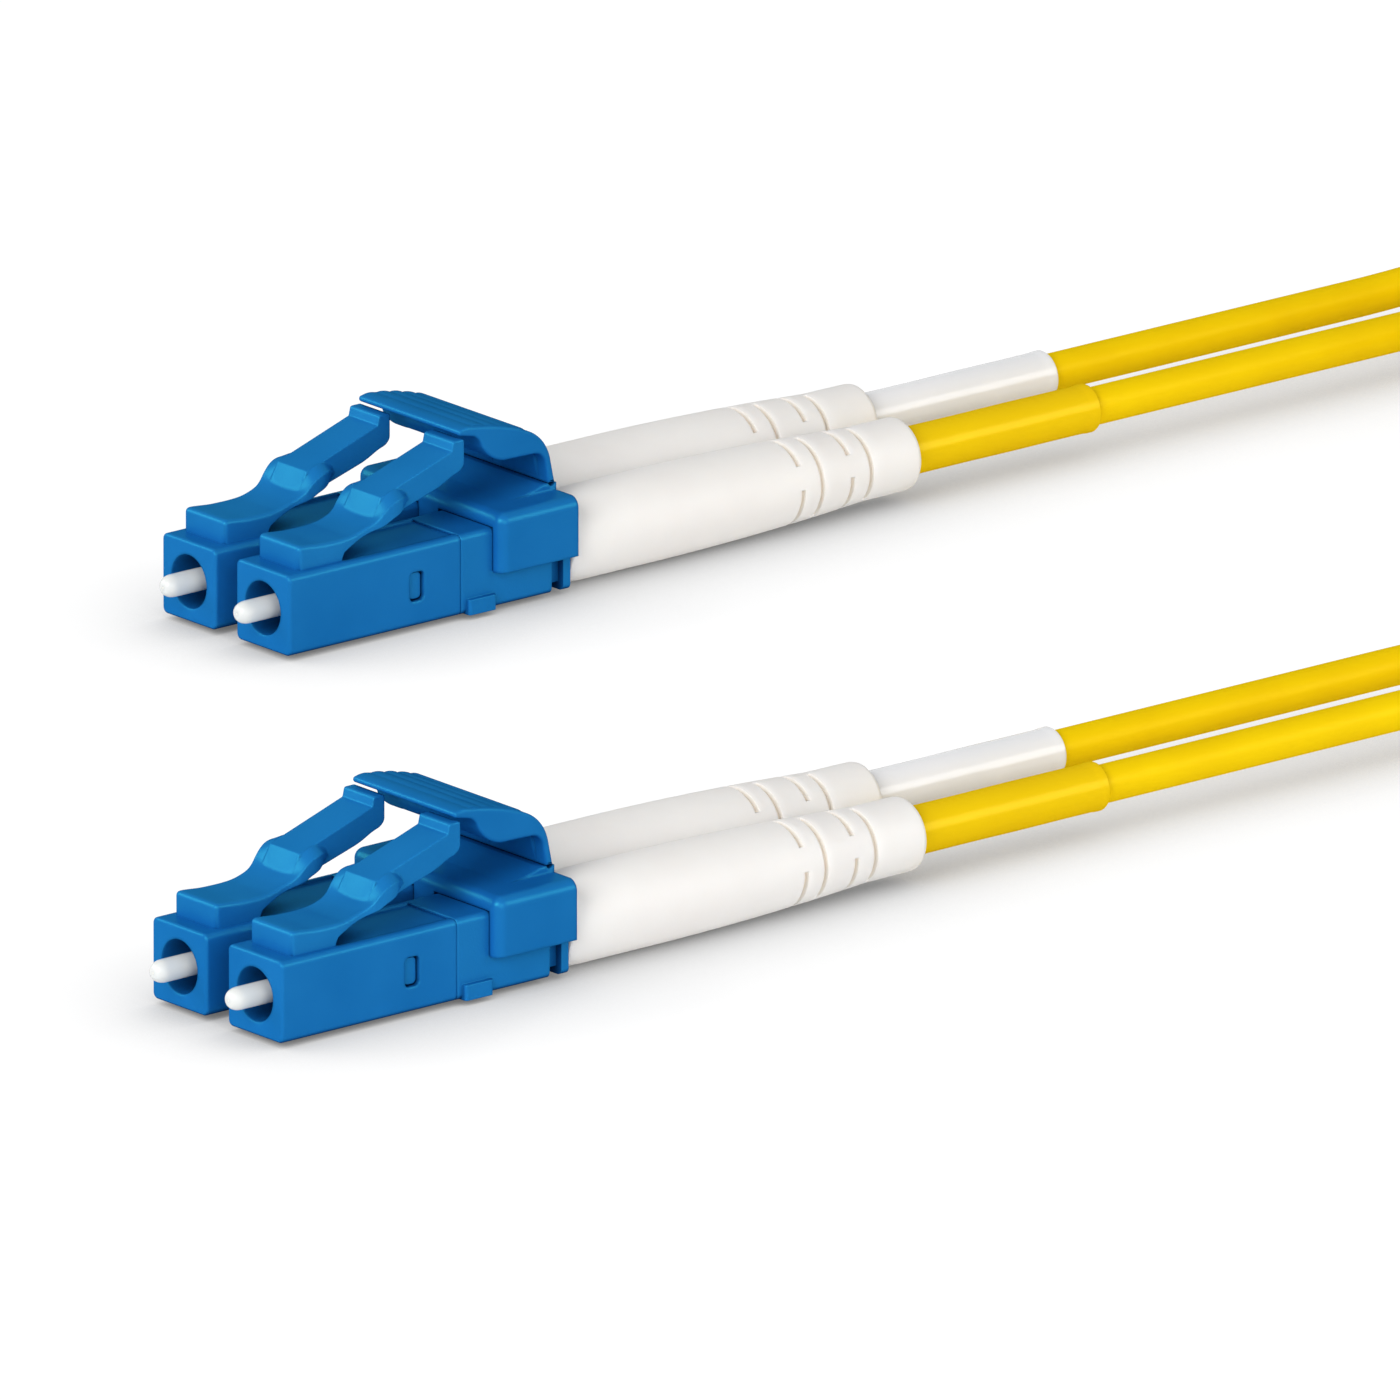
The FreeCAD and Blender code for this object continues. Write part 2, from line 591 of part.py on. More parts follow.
def boot(extra):
    full = (BOOT_X + BOOT_SHOULDER, BOOT_FULL_R)
    crest = (BOOT_X + BOOT_CREST + extra, BOOT_FULL_R)
    end_x = BOOT_END_X + extra
    tip_x = end_x - BOOT_TIP_LENGTH
    mid_x = (crest[0] + tip_x) / 2
    profile = outline(
        ((BOOT_X, 0), (BOOT_X, BOOT_BASE_R)),
        ((BOOT_X, BOOT_BASE_R), full),
        (full, crest),
        (crest, (mid_x, boot_radius(mid_x - extra)), (tip_x, BOOT_TIP_R)),
        ((tip_x, BOOT_TIP_R), (end_x, BOOT_END_R)),
        ((end_x, BOOT_END_R), (end_x, 0)),
        ((end_x, 0), (BOOT_X, 0)),
    )
    shape = Part.Face(profile).revolve(V(0, 0, 0), V(1, 0, 0), 360)
    shape = shape.makeFillet(BOOT_END_ROUND, ring_edges(shape, end_x, BOOT_END_R))
    cavity_end = CRIMP_END_X + BOOT_GAP
    shape = shape.cut(rod(CRIMP_D + 2 * CRIMP_GAP, BOOT_X - PAST, cavity_end))
    shape = shape.cut(rod(MARKER_D + 2 * MARKER_GAP, cavity_end - PAST, end_x + PAST))
    for index, setback in enumerate(RING_SETBACKS):
        for side in (0, 180):
            turn = side + RING_LEAN + RING_TURN * (index % 2)
            shape = shape.cut(boot_ring(BOOT_END_X - setback, turn, extra))
    return shape.removeSplitter()


def marker_sleeve(extra):
    end_x = MARKER_END_X + extra
    shape = tube(MARKER_D, MARKER_BORE_D, MARKER_X + extra, end_x)
    return shape.makeFillet(MARKER_WALL / 2, ring_edges(shape, end_x, MARKER_D / 2))


# Duplex clip, drawn about the middle between the two plugs

def clip_shell():
    half = LANE_Y + HALF + CLIP_GAP + CLIP_WALL
    shape = box(CLIP_X, CLIP_END_X, -half, half, -CLIP_SKIRT, CLIP_Z)
    rounded = edges_along(shape, V(1, 0, 0), lambda p: p.z > 0)
    rounded += edges_along(shape, V(0, 0, 1), lambda p: p.x < CLIP_X + CLIP_ROUND)
    rounded += edges_along(shape, V(0, 1, 0), lambda p: p.x < CLIP_X + CLIP_ROUND and p.z > 0)
    return shape.makeFillet(CLIP_ROUND, rounded)


def clip_web():
    """The wall between the two plugs, which starts behind their feet."""
    start = max(CLIP_X, FOOT_X + FOOT_LENGTH + CLIP_GAP)
    half = LANE_Y - HALF - CLIP_GAP
    return box(start, CLIP_END_X, -half, half, -HALF, HALF + CLIP_GAP)


def saddle():
    """The raised seat on the clip's top that carries the trigger."""
    start = CLIP_X + SADDLE_SETBACK
    flat = KNUCKLE_X - SADDLE_FLAT
    crest = KNUCKLE_Z - KNUCKLE_PROUD
    low = CLIP_Z - CLIP_TOP / 2
    wire = outline(
        ((start, low), (start, CLIP_Z)),
        ((start, CLIP_Z), ((start + KNUCKLE_X) / 2, CLIP_Z + SADDLE_SAG), (flat, crest)),
        ((flat, crest), (CLIP_END_X, crest)),
        ((CLIP_END_X, crest), (CLIP_END_X, low)),
        ((CLIP_END_X, low), (start, low)),
    )
    return slab(wire, -SADDLE_WIDTH / 2, SADDLE_WIDTH / 2)


def plug_room(lane):
    """The room that one plug takes in the clip, with a rib left standing in its groove."""
    wide = HALF + CLIP_GAP
    ribbed = wide - GROOVE_DEPTH
    rib_x, rib_end = GROOVE_X + CLIP_GAP, GROOVE_X + GROOVE_WIDTH - CLIP_GAP
    low = -HALF - PAST
    ahead = box(CLIP_X - PAST, rib_x, lane - wide, lane + wide, low, wide)
    behind = box(rib_end, CLIP_END_X + PAST, lane - wide, lane + wide, low, wide)
    between = box(CLIP_X, CLIP_END_X, lane - ribbed, lane + ribbed, low, ribbed)
    return ahead.fuse([behind, between])


def duplex_clip():
    shape = clip_shell().fuse([clip_web(), saddle()])
    for lane in (-LANE_Y, LANE_Y):
        shape = shape.cut(plug_room(lane))
    shape = shape.cut(cross_pin(KNUCKLE_R + KNUCKLE_GAP, SADDLE_WIDTH + PAST, KNUCKLE_X, KNUCKLE_Z))
    return shape.removeSplitter()


# Trigger, drawn about the middle between the two plugs

def trigger_profile():
    nose = (TRIGGER_NOSE_X, TRIGGER_NOSE_Z)
    nose_top = (TRIGGER_NOSE_X, TRIGGER_NOSE_Z + TRIGGER_NOSE_THICK)
    nose_tip = (TRIGGER_NOSE_X - TRIGGER_NOSE_BULGE, TRIGGER_NOSE_Z + TRIGGER_NOSE_THICK / 2)
    back = shifted(TRIGGER_BACK, KNUCKLE_X, KNUCKLE_Z)
    rear = shifted(TRIGGER_BELLY_REAR, KNUCKLE_X, KNUCKLE_Z)
    front = shifted(TRIGGER_BELLY_FRONT, TRIGGER_NOSE_X, TRIGGER_NOSE_Z)
    foot_back = (KNUCKLE_X + KNUCKLE_R, KNUCKLE_Z)
    foot_front = (KNUCKLE_X - KNUCKLE_R, KNUCKLE_Z)
    return outline(
        (nose, nose_tip, nose_top),
        (nose_top, back[0]),
        back,
        (back[2], foot_back),
        (foot_back, foot_front),
        (foot_front, rear[0]),
        rear,
        (rear[2], front[0]),
        front[:3],
        front[2:],
        (front[4], nose),
    )


def trigger_pocket(side):
    """The hollow under the trigger's plate, on one side of its middle rib."""
    rear = shifted(TRIGGER_POCKET_REAR, KNUCKLE_X, KNUCKLE_Z)
    front = shifted(TRIGGER_POCKET_FRONT, TRIGGER_NOSE_X, TRIGGER_NOSE_Z)
    wire = outline(
        (front[1], rear[0]),
        rear[:3],
        rear[2:],
        (rear[3], front[0]),
        front,
    )
    y0, y1 = sorted((side * TRIGGER_RIB / 2, side * (TRIGGER_WIDTH / 2 - TRIGGER_RIB)))
    return slab(wire, y0, y1)


def trigger_treads():
    """Low wedges across the front of the thumb plate."""
    top = TRIGGER_NOSE_Z + TRIGGER_NOSE_THICK
    back_x, back_z = shifted(TRIGGER_BACK, KNUCKLE_X, KNUCKLE_Z)[0]
    fall = (top - back_z) / (back_x - TRIGGER_NOSE_X)
    half = TRIGGER_WIDTH / 2 - TREAD_INSET
    treads = []
    for index in range(TREAD_COUNT):
        start = TREAD_SETBACK + index * TREAD_PITCH
        end = start + TREAD_LENGTH
        x0, z0 = TRIGGER_NOSE_X + start, top - start * fall
        x1, z1 = TRIGGER_NOSE_X + end, top - end * fall
        wire = polygon([(x0, z0 - TREAD_SUNK), (x0, z0 + TREAD_RISE), (x1, z1), (x1, z1 - TREAD_SUNK)])
        treads.append(slab(wire, -half, half))
    return treads


def trigger():
    shape = slab(trigger_profile(), -TRIGGER_WIDTH / 2, TRIGGER_WIDTH / 2)
    for side in (-1, 1):
        shape = shape.cut(trigger_pocket(side))
    knuckle = cross_pin(KNUCKLE_R, TRIGGER_WIDTH, KNUCKLE_X, KNUCKLE_Z)
    return shape.fuse(trigger_treads() + [knuckle]).removeSplitter()


# Cord

def report_tube(name, shape, section_area, edges):
    length = sum(e.Length for e in edges)
    radii = sorted({round(e.Curve.Radius, 1) for e in edges if isinstance(e.Curve, Part.Circle)})
    share = shape.Volume / (section_area * length)
    print(f"{name}: length {length:.1f} volume ratio {share:.4f} radii {radii}")


def strand_tube(name, points):
    """A round strand along a route: straight runs joined by tangent arcs."""
    edges = route_edges(points)
    way = V(*points[1]) - V(*points[0])
    section = Part.Wire(Part.makeCircle(STRAND_R, V(*points[0]), way))
    shape = Part.Wire(edges).makePipeShell([section], True, False)
    report_tube(name, shape, math.pi * STRAND_R ** 2, edges)
    return shape


def zip_section(x, y, z):
    """The joined pair standing on edge, square to X: two round strands and a web."""
    web = WEB_THICK / 2
    waist = STRAND_STEP / 2 - math.sqrt(STRAND_R ** 2 - web ** 2)
    crown = STRAND_STEP / 2 + STRAND_R
    edges = [
        Part.Arc(V(x, y + web, z + waist), V(x, y, z + crown), V(x, y - web, z + waist)),
        Part.LineSegment(V(x, y - web, z + waist), V(x, y - web, z - waist)),
        Part.Arc(V(x, y - web, z - waist), V(x, y, z - crown), V(x, y + web, z - waist)),
        Part.LineSegment(V(x, y + web, z - waist), V(x, y + web, z + waist)),
    ]
    return Part.Wire([e.toShape() for e in edges])


def zip_tube(name, edges, section):
    shape = Part.Wire(edges).makePipeShell([section], True, False)
    report_tube(name, shape, Part.Face(section).Area, edges)
    return shape


def far_section(shape, edges):
    """The outline of a tube's last face, which leans a little after the climb."""
    end = edges[-1].Vertexes[-1].Point
    face = min(shape.Faces, key=lambda f: f.CenterOfMass.distanceToPoint(end))
    return face.OuterWire


def half_turns(layer_z, radius, change):
    """A layer of the coil: half circles whose radius changes by the same step each time."""
    edges = []
    for index in range(COIL_HALF_TURNS):
        side = 1 if index % 2 == 0 else -1
        start = V(COIL_X, side * radius, layer_z)
        end = V(COIL_X, -side * (radius + change), layer_z)
        middle = V(COIL_X + side * (radius + change / 2), (start.y + end.y) / 2, layer_z)
        edges.append(Part.Arc(start, middle, end).toShape())
        radius += change
    return edges


def coil_edges():
    """Spiral in on the lower layer, climb in half a turn, and spiral out on the upper one."""
    low, high = LAYER_Z
    entry = V(COIL_X, COIL_R, low)
    foot_end = V(COIL_X, -COIL_INNER_R, low)
    flank = V(COIL_X - COIL_INNER_R + CLIMB_INSET, 0, (low + high) / 2)
    head = V(COIL_X, COIL_INNER_R, high)
    leave = V(COIL_X, -COIL_R, high)
    lead = V(COIL_LEAD, 0, 0)
    edges = [Part.LineSegment(entry - lead, entry).toShape()]
    edges += half_turns(low, COIL_R, -COIL_STEP)
    edges += biarc(foot_end, V(-1, 0, 0), flank, V(0, 1, CLIMB_SLOPE))
    edges += biarc(flank, V(0, 1, CLIMB_SLOPE), head, V(1, 0, 0))
    edges += half_turns(high, COIL_INNER_R, COIL_STEP)
    edges.append(Part.LineSegment(leave, leave - lead).toShape())
    return edges


def strand_points(edges):
    """Short spans of both strands' centre lines, carried along the path without twist."""
    middle = []
    for edge in edges:
        middle += edge.discretize(max(2, int(edge.Length / STRAND_D * 2)))[:-1]
    up = V(0, 0, STRAND_STEP / 2)
    along = 0.0
    spans = []
    for start, end in zip(middle, middle[1:]):
        way = end - start
        turned = up - way * (up.dot(way) / way.dot(way))
        turned = turned * (up.Length / turned.Length)
        spans.append((along, start + up, end + turned))
        spans.append((along, start - up, end - turned))
        along += way.Length
        up = turned
    return spans


def least_gap(edges):
    """The least clear space between one turn and the next, measured on points."""
    turn = math.pi * COIL_INNER_R
    near = COIL_PITCH + STRAND_D
    spans = strand_points(edges)
    gaps = []
    for index, (s, p, p_end) in enumerate(spans):
        for t, q, q_end in spans[index + 1:]:
            if t - s > turn and abs(p.x - q.x) < near and abs(p.y - q.y) < near:
                gaps.append(p.distanceToLineSegment(q, q_end).Length - STRAND_D)
    return min(gaps)


def coil_tie(side, inner_turn, outer_turn):
    """A flat tie round the bundle of turns, with its head and a short tail on top."""
    near = inner_turn - STRAND_R - TIE_SIDE_GAP
    far = outer_turn + STRAND_R + TIE_SIDE_GAP
    x0, x1 = sorted((COIL_X + side * near, COIL_X + side * far))
    low = COIL_BASE - TIE_GAP
    high = LAYER_Z[1] + ZIP_HEIGHT / 2 + TIE_GAP
    half = TIE_WIDTH / 2
    band = box(x0 - TIE_THICK, x1 + TIE_THICK, -half, half, low - TIE_THICK, high + TIE_THICK)
    band = band.makeFillet(TIE_ROUND, edges_along(band, V(0, 1, 0), lambda p: True))
    band = band.cut(box(x0, x1, -half - PAST, half + PAST, low, high))
    middle = (x0 + x1) / 2
    head_x = TIE_HEAD_LENGTH / 2
    head_y = TIE_HEAD_WIDTH / 2
    head_z = high + TIE_THICK / 2
    head = box(middle - head_x, middle + head_x, -head_y, head_y, head_z, head_z + TIE_HEAD_HEIGHT)
    head = head.makeFillet(TIE_HEAD_ROUND, edges_along(head, V(0, 0, 1), lambda p: True))
    tail_z = head_z + TIE_HEAD_HEIGHT / 2
    tail = box(middle, middle + head_x + TIE_TAIL, -half, half, tail_z, tail_z + TIE_THICK)
    return band.fuse([head, tail]).removeSplitter()


def coil_ties():
    return Part.makeCompound([
        coil_tie(1, COIL_INNER_R + COIL_STEP / 2, COIL_R - COIL_STEP / 2),
        coil_tie(-1, COIL_INNER_R - CLIMB_INSET, COIL_R - COIL_STEP * 3 / 2),
    ])


# Assembly

def plug_pieces(extra):
    """The pieces of one plug, whose boot and sleeve reach further by the extra length."""
    return {
        "front_housing": front_housing(),
        "latch_lever": latch_lever(),
        "rear_housing": rear_housing(),
        "ferrule": ferrule(),
        "ferrule_flange": ferrule_flange(),
        "ferrule_spring": ferrule_spring(),
        "guide_tube": guide_tube(),
        "buffered_fiber": buffered_fiber(),
        "backpost": backpost(),
        "crimp_sleeve": crimp_sleeve(),
        "boot": boot(extra),
        "marker_sleeve": marker_sleeve(extra),
    }


def placed(shape, x, y):
    copy = shape.copy()
    copy.translate(V(x, y, AXIS_Z))
    return copy


def end_nodes():
    """The twelve pieces of each of the four plugs, and each end's clip and trigger."""
    nodes = {}
    lanes = ((1, -LANE_Y, plug_pieces(0)), (2, LANE_Y, plug_pieces(FAR_EXTRA)))
    clip = duplex_clip()
    thumb_trigger = trigger()
    ends = {"a": (END_A_X, END_STEP_Y / 2), "b": (END_B_X, -END_STEP_Y / 2)}
    for end, (x, y) in ends.items():
        for lane, offset, plug in lanes:
            for name, shape in plug.items():
                nodes[f"{name}_{end}{lane}"] = placed(shape, x, y + offset)
        nodes[f"duplex_clip_{end}"] = placed(clip, x, y)
        nodes[f"trigger_{end}"] = placed(thumb_trigger, x, y)
    return nodes


def cord_nodes():
    nodes = {name: strand_tube(name, points) for name, points in LEG_ROUTES.items()}
    turns = coil_edges()
    entry = zip_section(COIL_X - COIL_LEAD, COIL_R, LAYER_Z[0])
    nodes["cord_coil"] = zip_tube("cord_coil", turns, entry)
    leave = far_section(nodes["cord_coil"], turns)
    nodes["zip_lead"] = zip_tube("zip_lead", route_edges(LEAD_ROUTE), leave)
    print(f"cord_coil: least gap between turns {least_gap(turns):.3f}")
    nodes["coil_ties"] = coil_ties()
    return nodes


def main():
    nodes = end_nodes()
    nodes.update(cord_nodes())
    os.makedirs("parts", exist_ok=True)
    for name, shape in nodes.items():
        if not shape.isValid():
            print(f"{name} is not valid")
        shape.exportStep(f"parts/{name}.step")
    print(f"{len(nodes)} nodes, end a at x {END_A_X:.3f}, end b at x {END_B_X:.3f}")


main()
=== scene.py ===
"""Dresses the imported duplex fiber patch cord: strands, plugs, boots, sleeves, triggers and the studio."""
import logging
import math
from dataclasses import dataclass, field
from enum import Enum

import bpy
import numpy as np
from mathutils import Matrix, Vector


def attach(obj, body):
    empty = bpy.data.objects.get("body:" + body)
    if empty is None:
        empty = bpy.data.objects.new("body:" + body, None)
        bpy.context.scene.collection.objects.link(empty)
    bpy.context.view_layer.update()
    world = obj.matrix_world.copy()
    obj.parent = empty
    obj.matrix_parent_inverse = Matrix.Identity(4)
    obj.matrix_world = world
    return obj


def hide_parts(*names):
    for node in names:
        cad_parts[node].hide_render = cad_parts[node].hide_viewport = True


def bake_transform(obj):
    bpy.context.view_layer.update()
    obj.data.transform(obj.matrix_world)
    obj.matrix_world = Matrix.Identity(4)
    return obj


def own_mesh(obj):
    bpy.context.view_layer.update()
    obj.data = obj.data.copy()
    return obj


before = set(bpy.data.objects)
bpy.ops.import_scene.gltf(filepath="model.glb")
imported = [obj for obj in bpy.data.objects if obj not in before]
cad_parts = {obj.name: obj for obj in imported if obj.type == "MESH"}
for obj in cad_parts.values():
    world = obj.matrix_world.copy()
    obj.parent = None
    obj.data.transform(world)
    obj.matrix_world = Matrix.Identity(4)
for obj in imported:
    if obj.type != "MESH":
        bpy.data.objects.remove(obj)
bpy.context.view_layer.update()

LOG = logging.getLogger("patch_cord")
MM = 0.001
Triple = tuple[float, float, float]
View = tuple[float, np.ndarray]
Socket = bpy.types.NodeSocket

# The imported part's layout, in millimetres: each plug's own frame has X from its front face towards the
# cable, Y across and Z up from its axis.
AXIS_Z = 2.55
LANE_Y = 3.125
FAR_LANE_EXTRA = 2.2
STRAND_R = 1.05
STRAND_STEP = 2.15


class End(Enum):
    """The two ends of the cord, with the place of each end's front face and middle."""

    A = (-7.0, 26.5)
    B = (-51.0, -26.5)

    @property
    def letter(self) -> str:
        """The end's letter in the node names."""
        return self.name.lower()


class Lane(Enum):
    """The two plugs of an end: 1 is on the -Y side and carries the yellow sleeve, 2 the white one."""

    NEAR = (1, -LANE_Y)
    FAR = (2, LANE_Y)

    @property
    def number(self) -> int:
        """The lane's number in the node names."""
        return self.value[0]

    @property
    def shift(self) -> float:
        """The lane's place across the end, in millimetres."""
        return self.value[1]

    @property
    def extra(self) -> float:
        """How much further the lane's boot and sleeve reach, in millimetres."""
        return FAR_LANE_EXTRA if self is Lane.FAR else 0.0


@dataclass(frozen=True)
class Plug:
    """One of the four plugs."""

    end: End
    lane: Lane

    @property
    def tag(self) -> str:
        """The plug's letter and number in the node names."""
        return f"{self.end.letter}{self.lane.number}"

    @property
    def x(self) -> float:
        """Where the plug's front face stands, in millimetres."""
        return self.end.value[0]

    @property
    def y(self) -> float:
        """Where the plug's axis lies across the cord, in millimetres."""
        return self.end.value[1] + self.lane.shift

    def at(self, along: float, up: float = 0.0) -> Triple:
        """A spot in the plug's own middle plane, as a place in metres."""
        return ((self.x + along) * MM, self.y * MM, (AXIS_Z + up) * MM)


# Colours and shader graphs


def linear(red: float, green: float, blue: float) -> tuple[float, float, float, float]:
    """Turns a colour as seen on screen into the renderer's linear values.

    Args:
        red: Red from 0 to 255.
        green: Green from 0 to 255.
        blue: Blue from 0 to 255.

    Returns:
        Linear red, green and blue from 0 to 1, and an alpha of 1.
    """
    share = np.array([red, green, blue], float) / 255
    out = np.where(share <= 0.04045, share / 12.92, ((share + 0.055) / 1.055) ** 2.4)
    return (float(out[0]), float(out[1]), float(out[2]), 1.0)


def grey(value: float) -> tuple[float, float, float, float]:
    """A grey of a linear value."""
    return (value, value, value, 1.0)


class Graph:
    """A small helper that adds and links the shader nodes of one material or world."""

    def __init__(self, owner: bpy.types.ID, output: str = "OutputMaterial") -> None:
        """Clears the owner's nodes and adds its output node.

        Args:
            owner: The material or world.
            output: The output node's type after ShaderNode.
        """
        self.owner = owner
        self.owner.use_nodes = True
        self.owner.node_tree.nodes.clear()
        self.output = self.node(output)

    def node(self, kind: str, **settings: object) -> bpy.types.Node:
        """Adds a node.

        Args:
            kind: The node type after ShaderNode.
            **settings: Attributes of the node, or values of its inputs by name with _ for a space.

        Returns:
            The new node.
        """
        made = self.owner.node_tree.nodes.new("ShaderNode" + kind)
        for key, value in settings.items():
            if hasattr(made, key):
                setattr(made, key, value)
            else:
                made.inputs[key.replace("_", " ")].default_value = value
        return made

    def link(self, source: Socket, target: Socket) -> None:
        """Links two sockets."""
        self.owner.node_tree.links.new(source, target)

    def fed(self, kind: str, *sources: Socket, **settings: object) -> Socket:
        """Adds a node whose first inputs are linked.

        Args:
            kind: The node type after ShaderNode.
            *sources: What goes into its first inputs, in order.
            **settings: As for node.

        Returns:
            The node's first output.
        """
        made = self.node(kind, **settings)
        for source, target in zip(sources, made.inputs):
            self.link(source, target)
        return made.outputs[0]

    def coordinates(self, scale: Triple, flow: bool) -> Socket:
        """Gives scaled pattern coordinates in millimetres.

        Args:
            scale: How often a pattern repeats for each millimetre along X, Y and Z.
            flow: Reads the piece's own straightened coordinates instead of the object's.

        Returns:
            The vector to read patterns at.
        """
        factor = 1.0 if flow else 1 / MM
        if flow:
            source = self.node("Attribute", attribute_name="flow").outputs["Vector"]
        else:
            source = self.node("TexCoord").outputs["Object"]
        return self.fed("Mapping", source, Scale=[s * factor for s in scale])

    def noise(self, vector: Socket, scale: float, detail: float = 3.0) -> Socket:
        """Adds a noise pattern and gives its value."""
        return self.fed("TexNoise", vector, Scale=scale, Detail=detail)

    def span(self, value: Socket, low: float, high: float, start: float = 0.3, end: float = 0.7) -> Socket:
        """Maps a value's range from start to end onto low to high."""
        return self.fed("MapRange", value, From_Min=start, From_Max=end, To_Min=low, To_Max=high)

    def blend(self, factor: Socket, first: object, second: object) -> Socket:
        """Mixes two colours, each a linked socket or a fixed colour.

        Sockets 6 and 7 of the node are its two colours, and output 2 is the mixed one.

        Args:
            factor: How far from the first colour to the second.
            first: The colour at 0.
            second: The colour at 1.

        Returns:
            The mixed colour.
        """
        made = self.node("Mix", data_type="RGBA")
        self.link(factor, made.inputs[0])
        for socket, colour in ((made.inputs[6], first), (made.inputs[7], second)):
            if isinstance(colour, Socket):
                self.link(colour, socket)
            else:
                socket.default_value = colour
        return made.outputs[2]

    def bump(self, height: Socket, strength: float, depth_mm: float) -> bpy.types.Node:
        """Adds a node that turns a height pattern into a bumped normal.

        Args:
            height: The pattern.
            strength: How much of it shows.
            depth_mm: Its depth.

        Returns:
            The node.
        """
        made = self.node("Bump", Strength=strength, Distance=depth_mm * MM)
        self.link(height, made.inputs["Height"])
        return made

    def openness(self, reach_mm: float, samples: int) -> Socket:
        """How open a spot lies, from 0 in a deep recess to 1, judged within that reach."""
        return self.node("AmbientOcclusion", samples=samples, Distance=reach_mm * MM).outputs["AO"]


@dataclass(frozen=True)
class Plastic:
    """A moulded plastic with slow colour drift and fine grain, and where given painted shade in recesses and
    in cut grooves.

    Attributes:
        drift: The colour that the slow drift leads to.
        roughness: Its roughness at the grain's low and high spots, or twice the same for a steady one.
        grain_depth: The grain's depth in millimetres, or 0 for none.
        soft: How much light passes under the surface.
        sheen: The colour of a thin reflection over the body, if any.
        deep: The painted shade colour that recesses darken to, where the reflection is also dimmed as painted
            shade, if any.
        edge: The radius in millimetres to which sharp edges look rounded, or 0.
        tint: The painted shade colour that a piece's cut grooves take, if any.
        flow: Patterns follow the piece's own straightened coordinates.
        stretch: The grain's scale along X, Y and Z.
        open_colour: The openness from which the painted recess shade begins to give way, and that where it
            ends.
        open_sheen: The same for the painted shade on the reflection.
    """

    name: str
    colour: Triple
    drift: Triple
    roughness: tuple[float, float] = (0.3, 0.42)
    specular: float = 0.3
    ior: float = 1.45
    grain_per_mm: float = 9.0
    grain_depth: float = 0.004
    grain_strength: float = 0.4
    drift_per_mm: float = 0.22
    soft: float = 0.0
    soft_radius: Triple = (1.0, 0.9, 0.8)
    soft_mm: float = 0.6
    coat: float = 0.0
    coat_roughness: float = 0.08
    sheen: Triple | None = None
    sheen_share: float = 0.05
    deep: Triple | None = None
    recess_mm: float = 2.2
    open_colour: tuple[float, float] = (0.1, 0.55)
    open_sheen: tuple[float, float] = (0.2, 0.65)
    edge: float = 0.0
    tint: Triple | None = None
    flow: bool = False
    stretch: Triple = (1.0, 1.0, 1.0)

    def body_colour(self, g: Graph, wide: Socket | None) -> Socket:
        """Mixes the body's colour from the drift, the painted shade in cut grooves and the painted shade in
        recesses.

        Args:
            g: The material's graph.
            wide: How open each spot lies, or None.

        Returns:
            The colour.
        """
        slow = g.noise(g.coordinates((1.0, 1.0, 1.0), self.flow), self.drift_per_mm, 2.0)
        colour = g.blend(g.span(slow, 0.0, 1.0), linear(*self.colour), linear(*self.drift))
        # Painted shade: a piece's cut grooves take a darker colour, as much as each point's share says.
        if self.tint:
            mark = g.node("Attribute", attribute_name="mark").outputs["Fac"]
            colour = g.blend(mark, colour, linear(*self.tint))
        # Painted shade: the less open a spot lies, the nearer its colour comes to the painted shade colour.
        if wide:
            colour = g.blend(g.span(wide, 0.0, 1.0, *self.open_colour), linear(*self.deep), colour)
        return colour

    def normal(self, g: Graph, grain: Socket | None) -> Socket:
        """Gives the normal of the rounded edges, of the grain, or of both.

        Args:
            g: The material's graph.
            grain: The grain's pattern, or None where the finish has no grain.

        Returns:
            The normal.
        """
        rounded = g.node("Bevel", samples=8, Radius=self.edge * MM).outputs["Normal"] if self.edge else None
        if not self.grain_depth:
            return rounded
        bumped = g.bump(grain, self.grain_strength, self.grain_depth)
        if rounded:
            g.link(rounded, bumped.inputs["Normal"])
        return bumped.outputs["Normal"]

    def make(self) -> bpy.types.Material:
        """Builds the material.

        Returns:
            The new material.
        """
        g = Graph(bpy.data.materials.new(self.name))
        shader = g.node("BsdfPrincipled", Specular_IOR_Level=self.specular, IOR=self.ior,
                        Coat_Weight=self.coat, Coat_Roughness=self.coat_roughness)
        if self.soft:
            shader.inputs["Subsurface Weight"].default_value = self.soft
            shader.inputs["Subsurface Radius"].default_value = self.soft_radius
            shader.inputs["Subsurface Scale"].default_value = self.soft_mm * MM
        wide = g.openness(self.recess_mm, 16) if self.deep else None
        g.link(self.body_colour(g, wide), shader.inputs["Base Color"])
        low, high = self.roughness
        grain = None
        if self.grain_depth or high > low:
            grain = g.noise(g.coordinates(self.stretch, self.flow), self.grain_per_mm, 4.0)
        normal = self.normal(g, grain)
        surface, layers = shader.outputs["BSDF"], [shader]
        if self.sheen:
            gloss = g.node("BsdfGlossy", Color=linear(*self.sheen))
            mixed = g.node("MixShader")
            mixed.inputs[0].default_value = self.sheen_share
            # Painted shade on the reflection: it fades where a spot lies in a recess.
            if wide:
                g.link(g.span(wide, 0.0, self.sheen_share, *self.open_sheen), mixed.inputs[0])
            g.link(surface, mixed.inputs[1])
            g.link(gloss.outputs["BSDF"], mixed.inputs[2])
            surface, layers = mixed.outputs["Shader"], [shader, gloss]
        for layer in layers:
            layer.inputs["Roughness"].default_value = low
            if high > low:
                g.link(g.span(grain, low, high), layer.inputs["Roughness"])
            g.link(normal, layer.inputs["Normal"])
        g.link(surface, g.output.inputs["Surface"])
        return g.owner


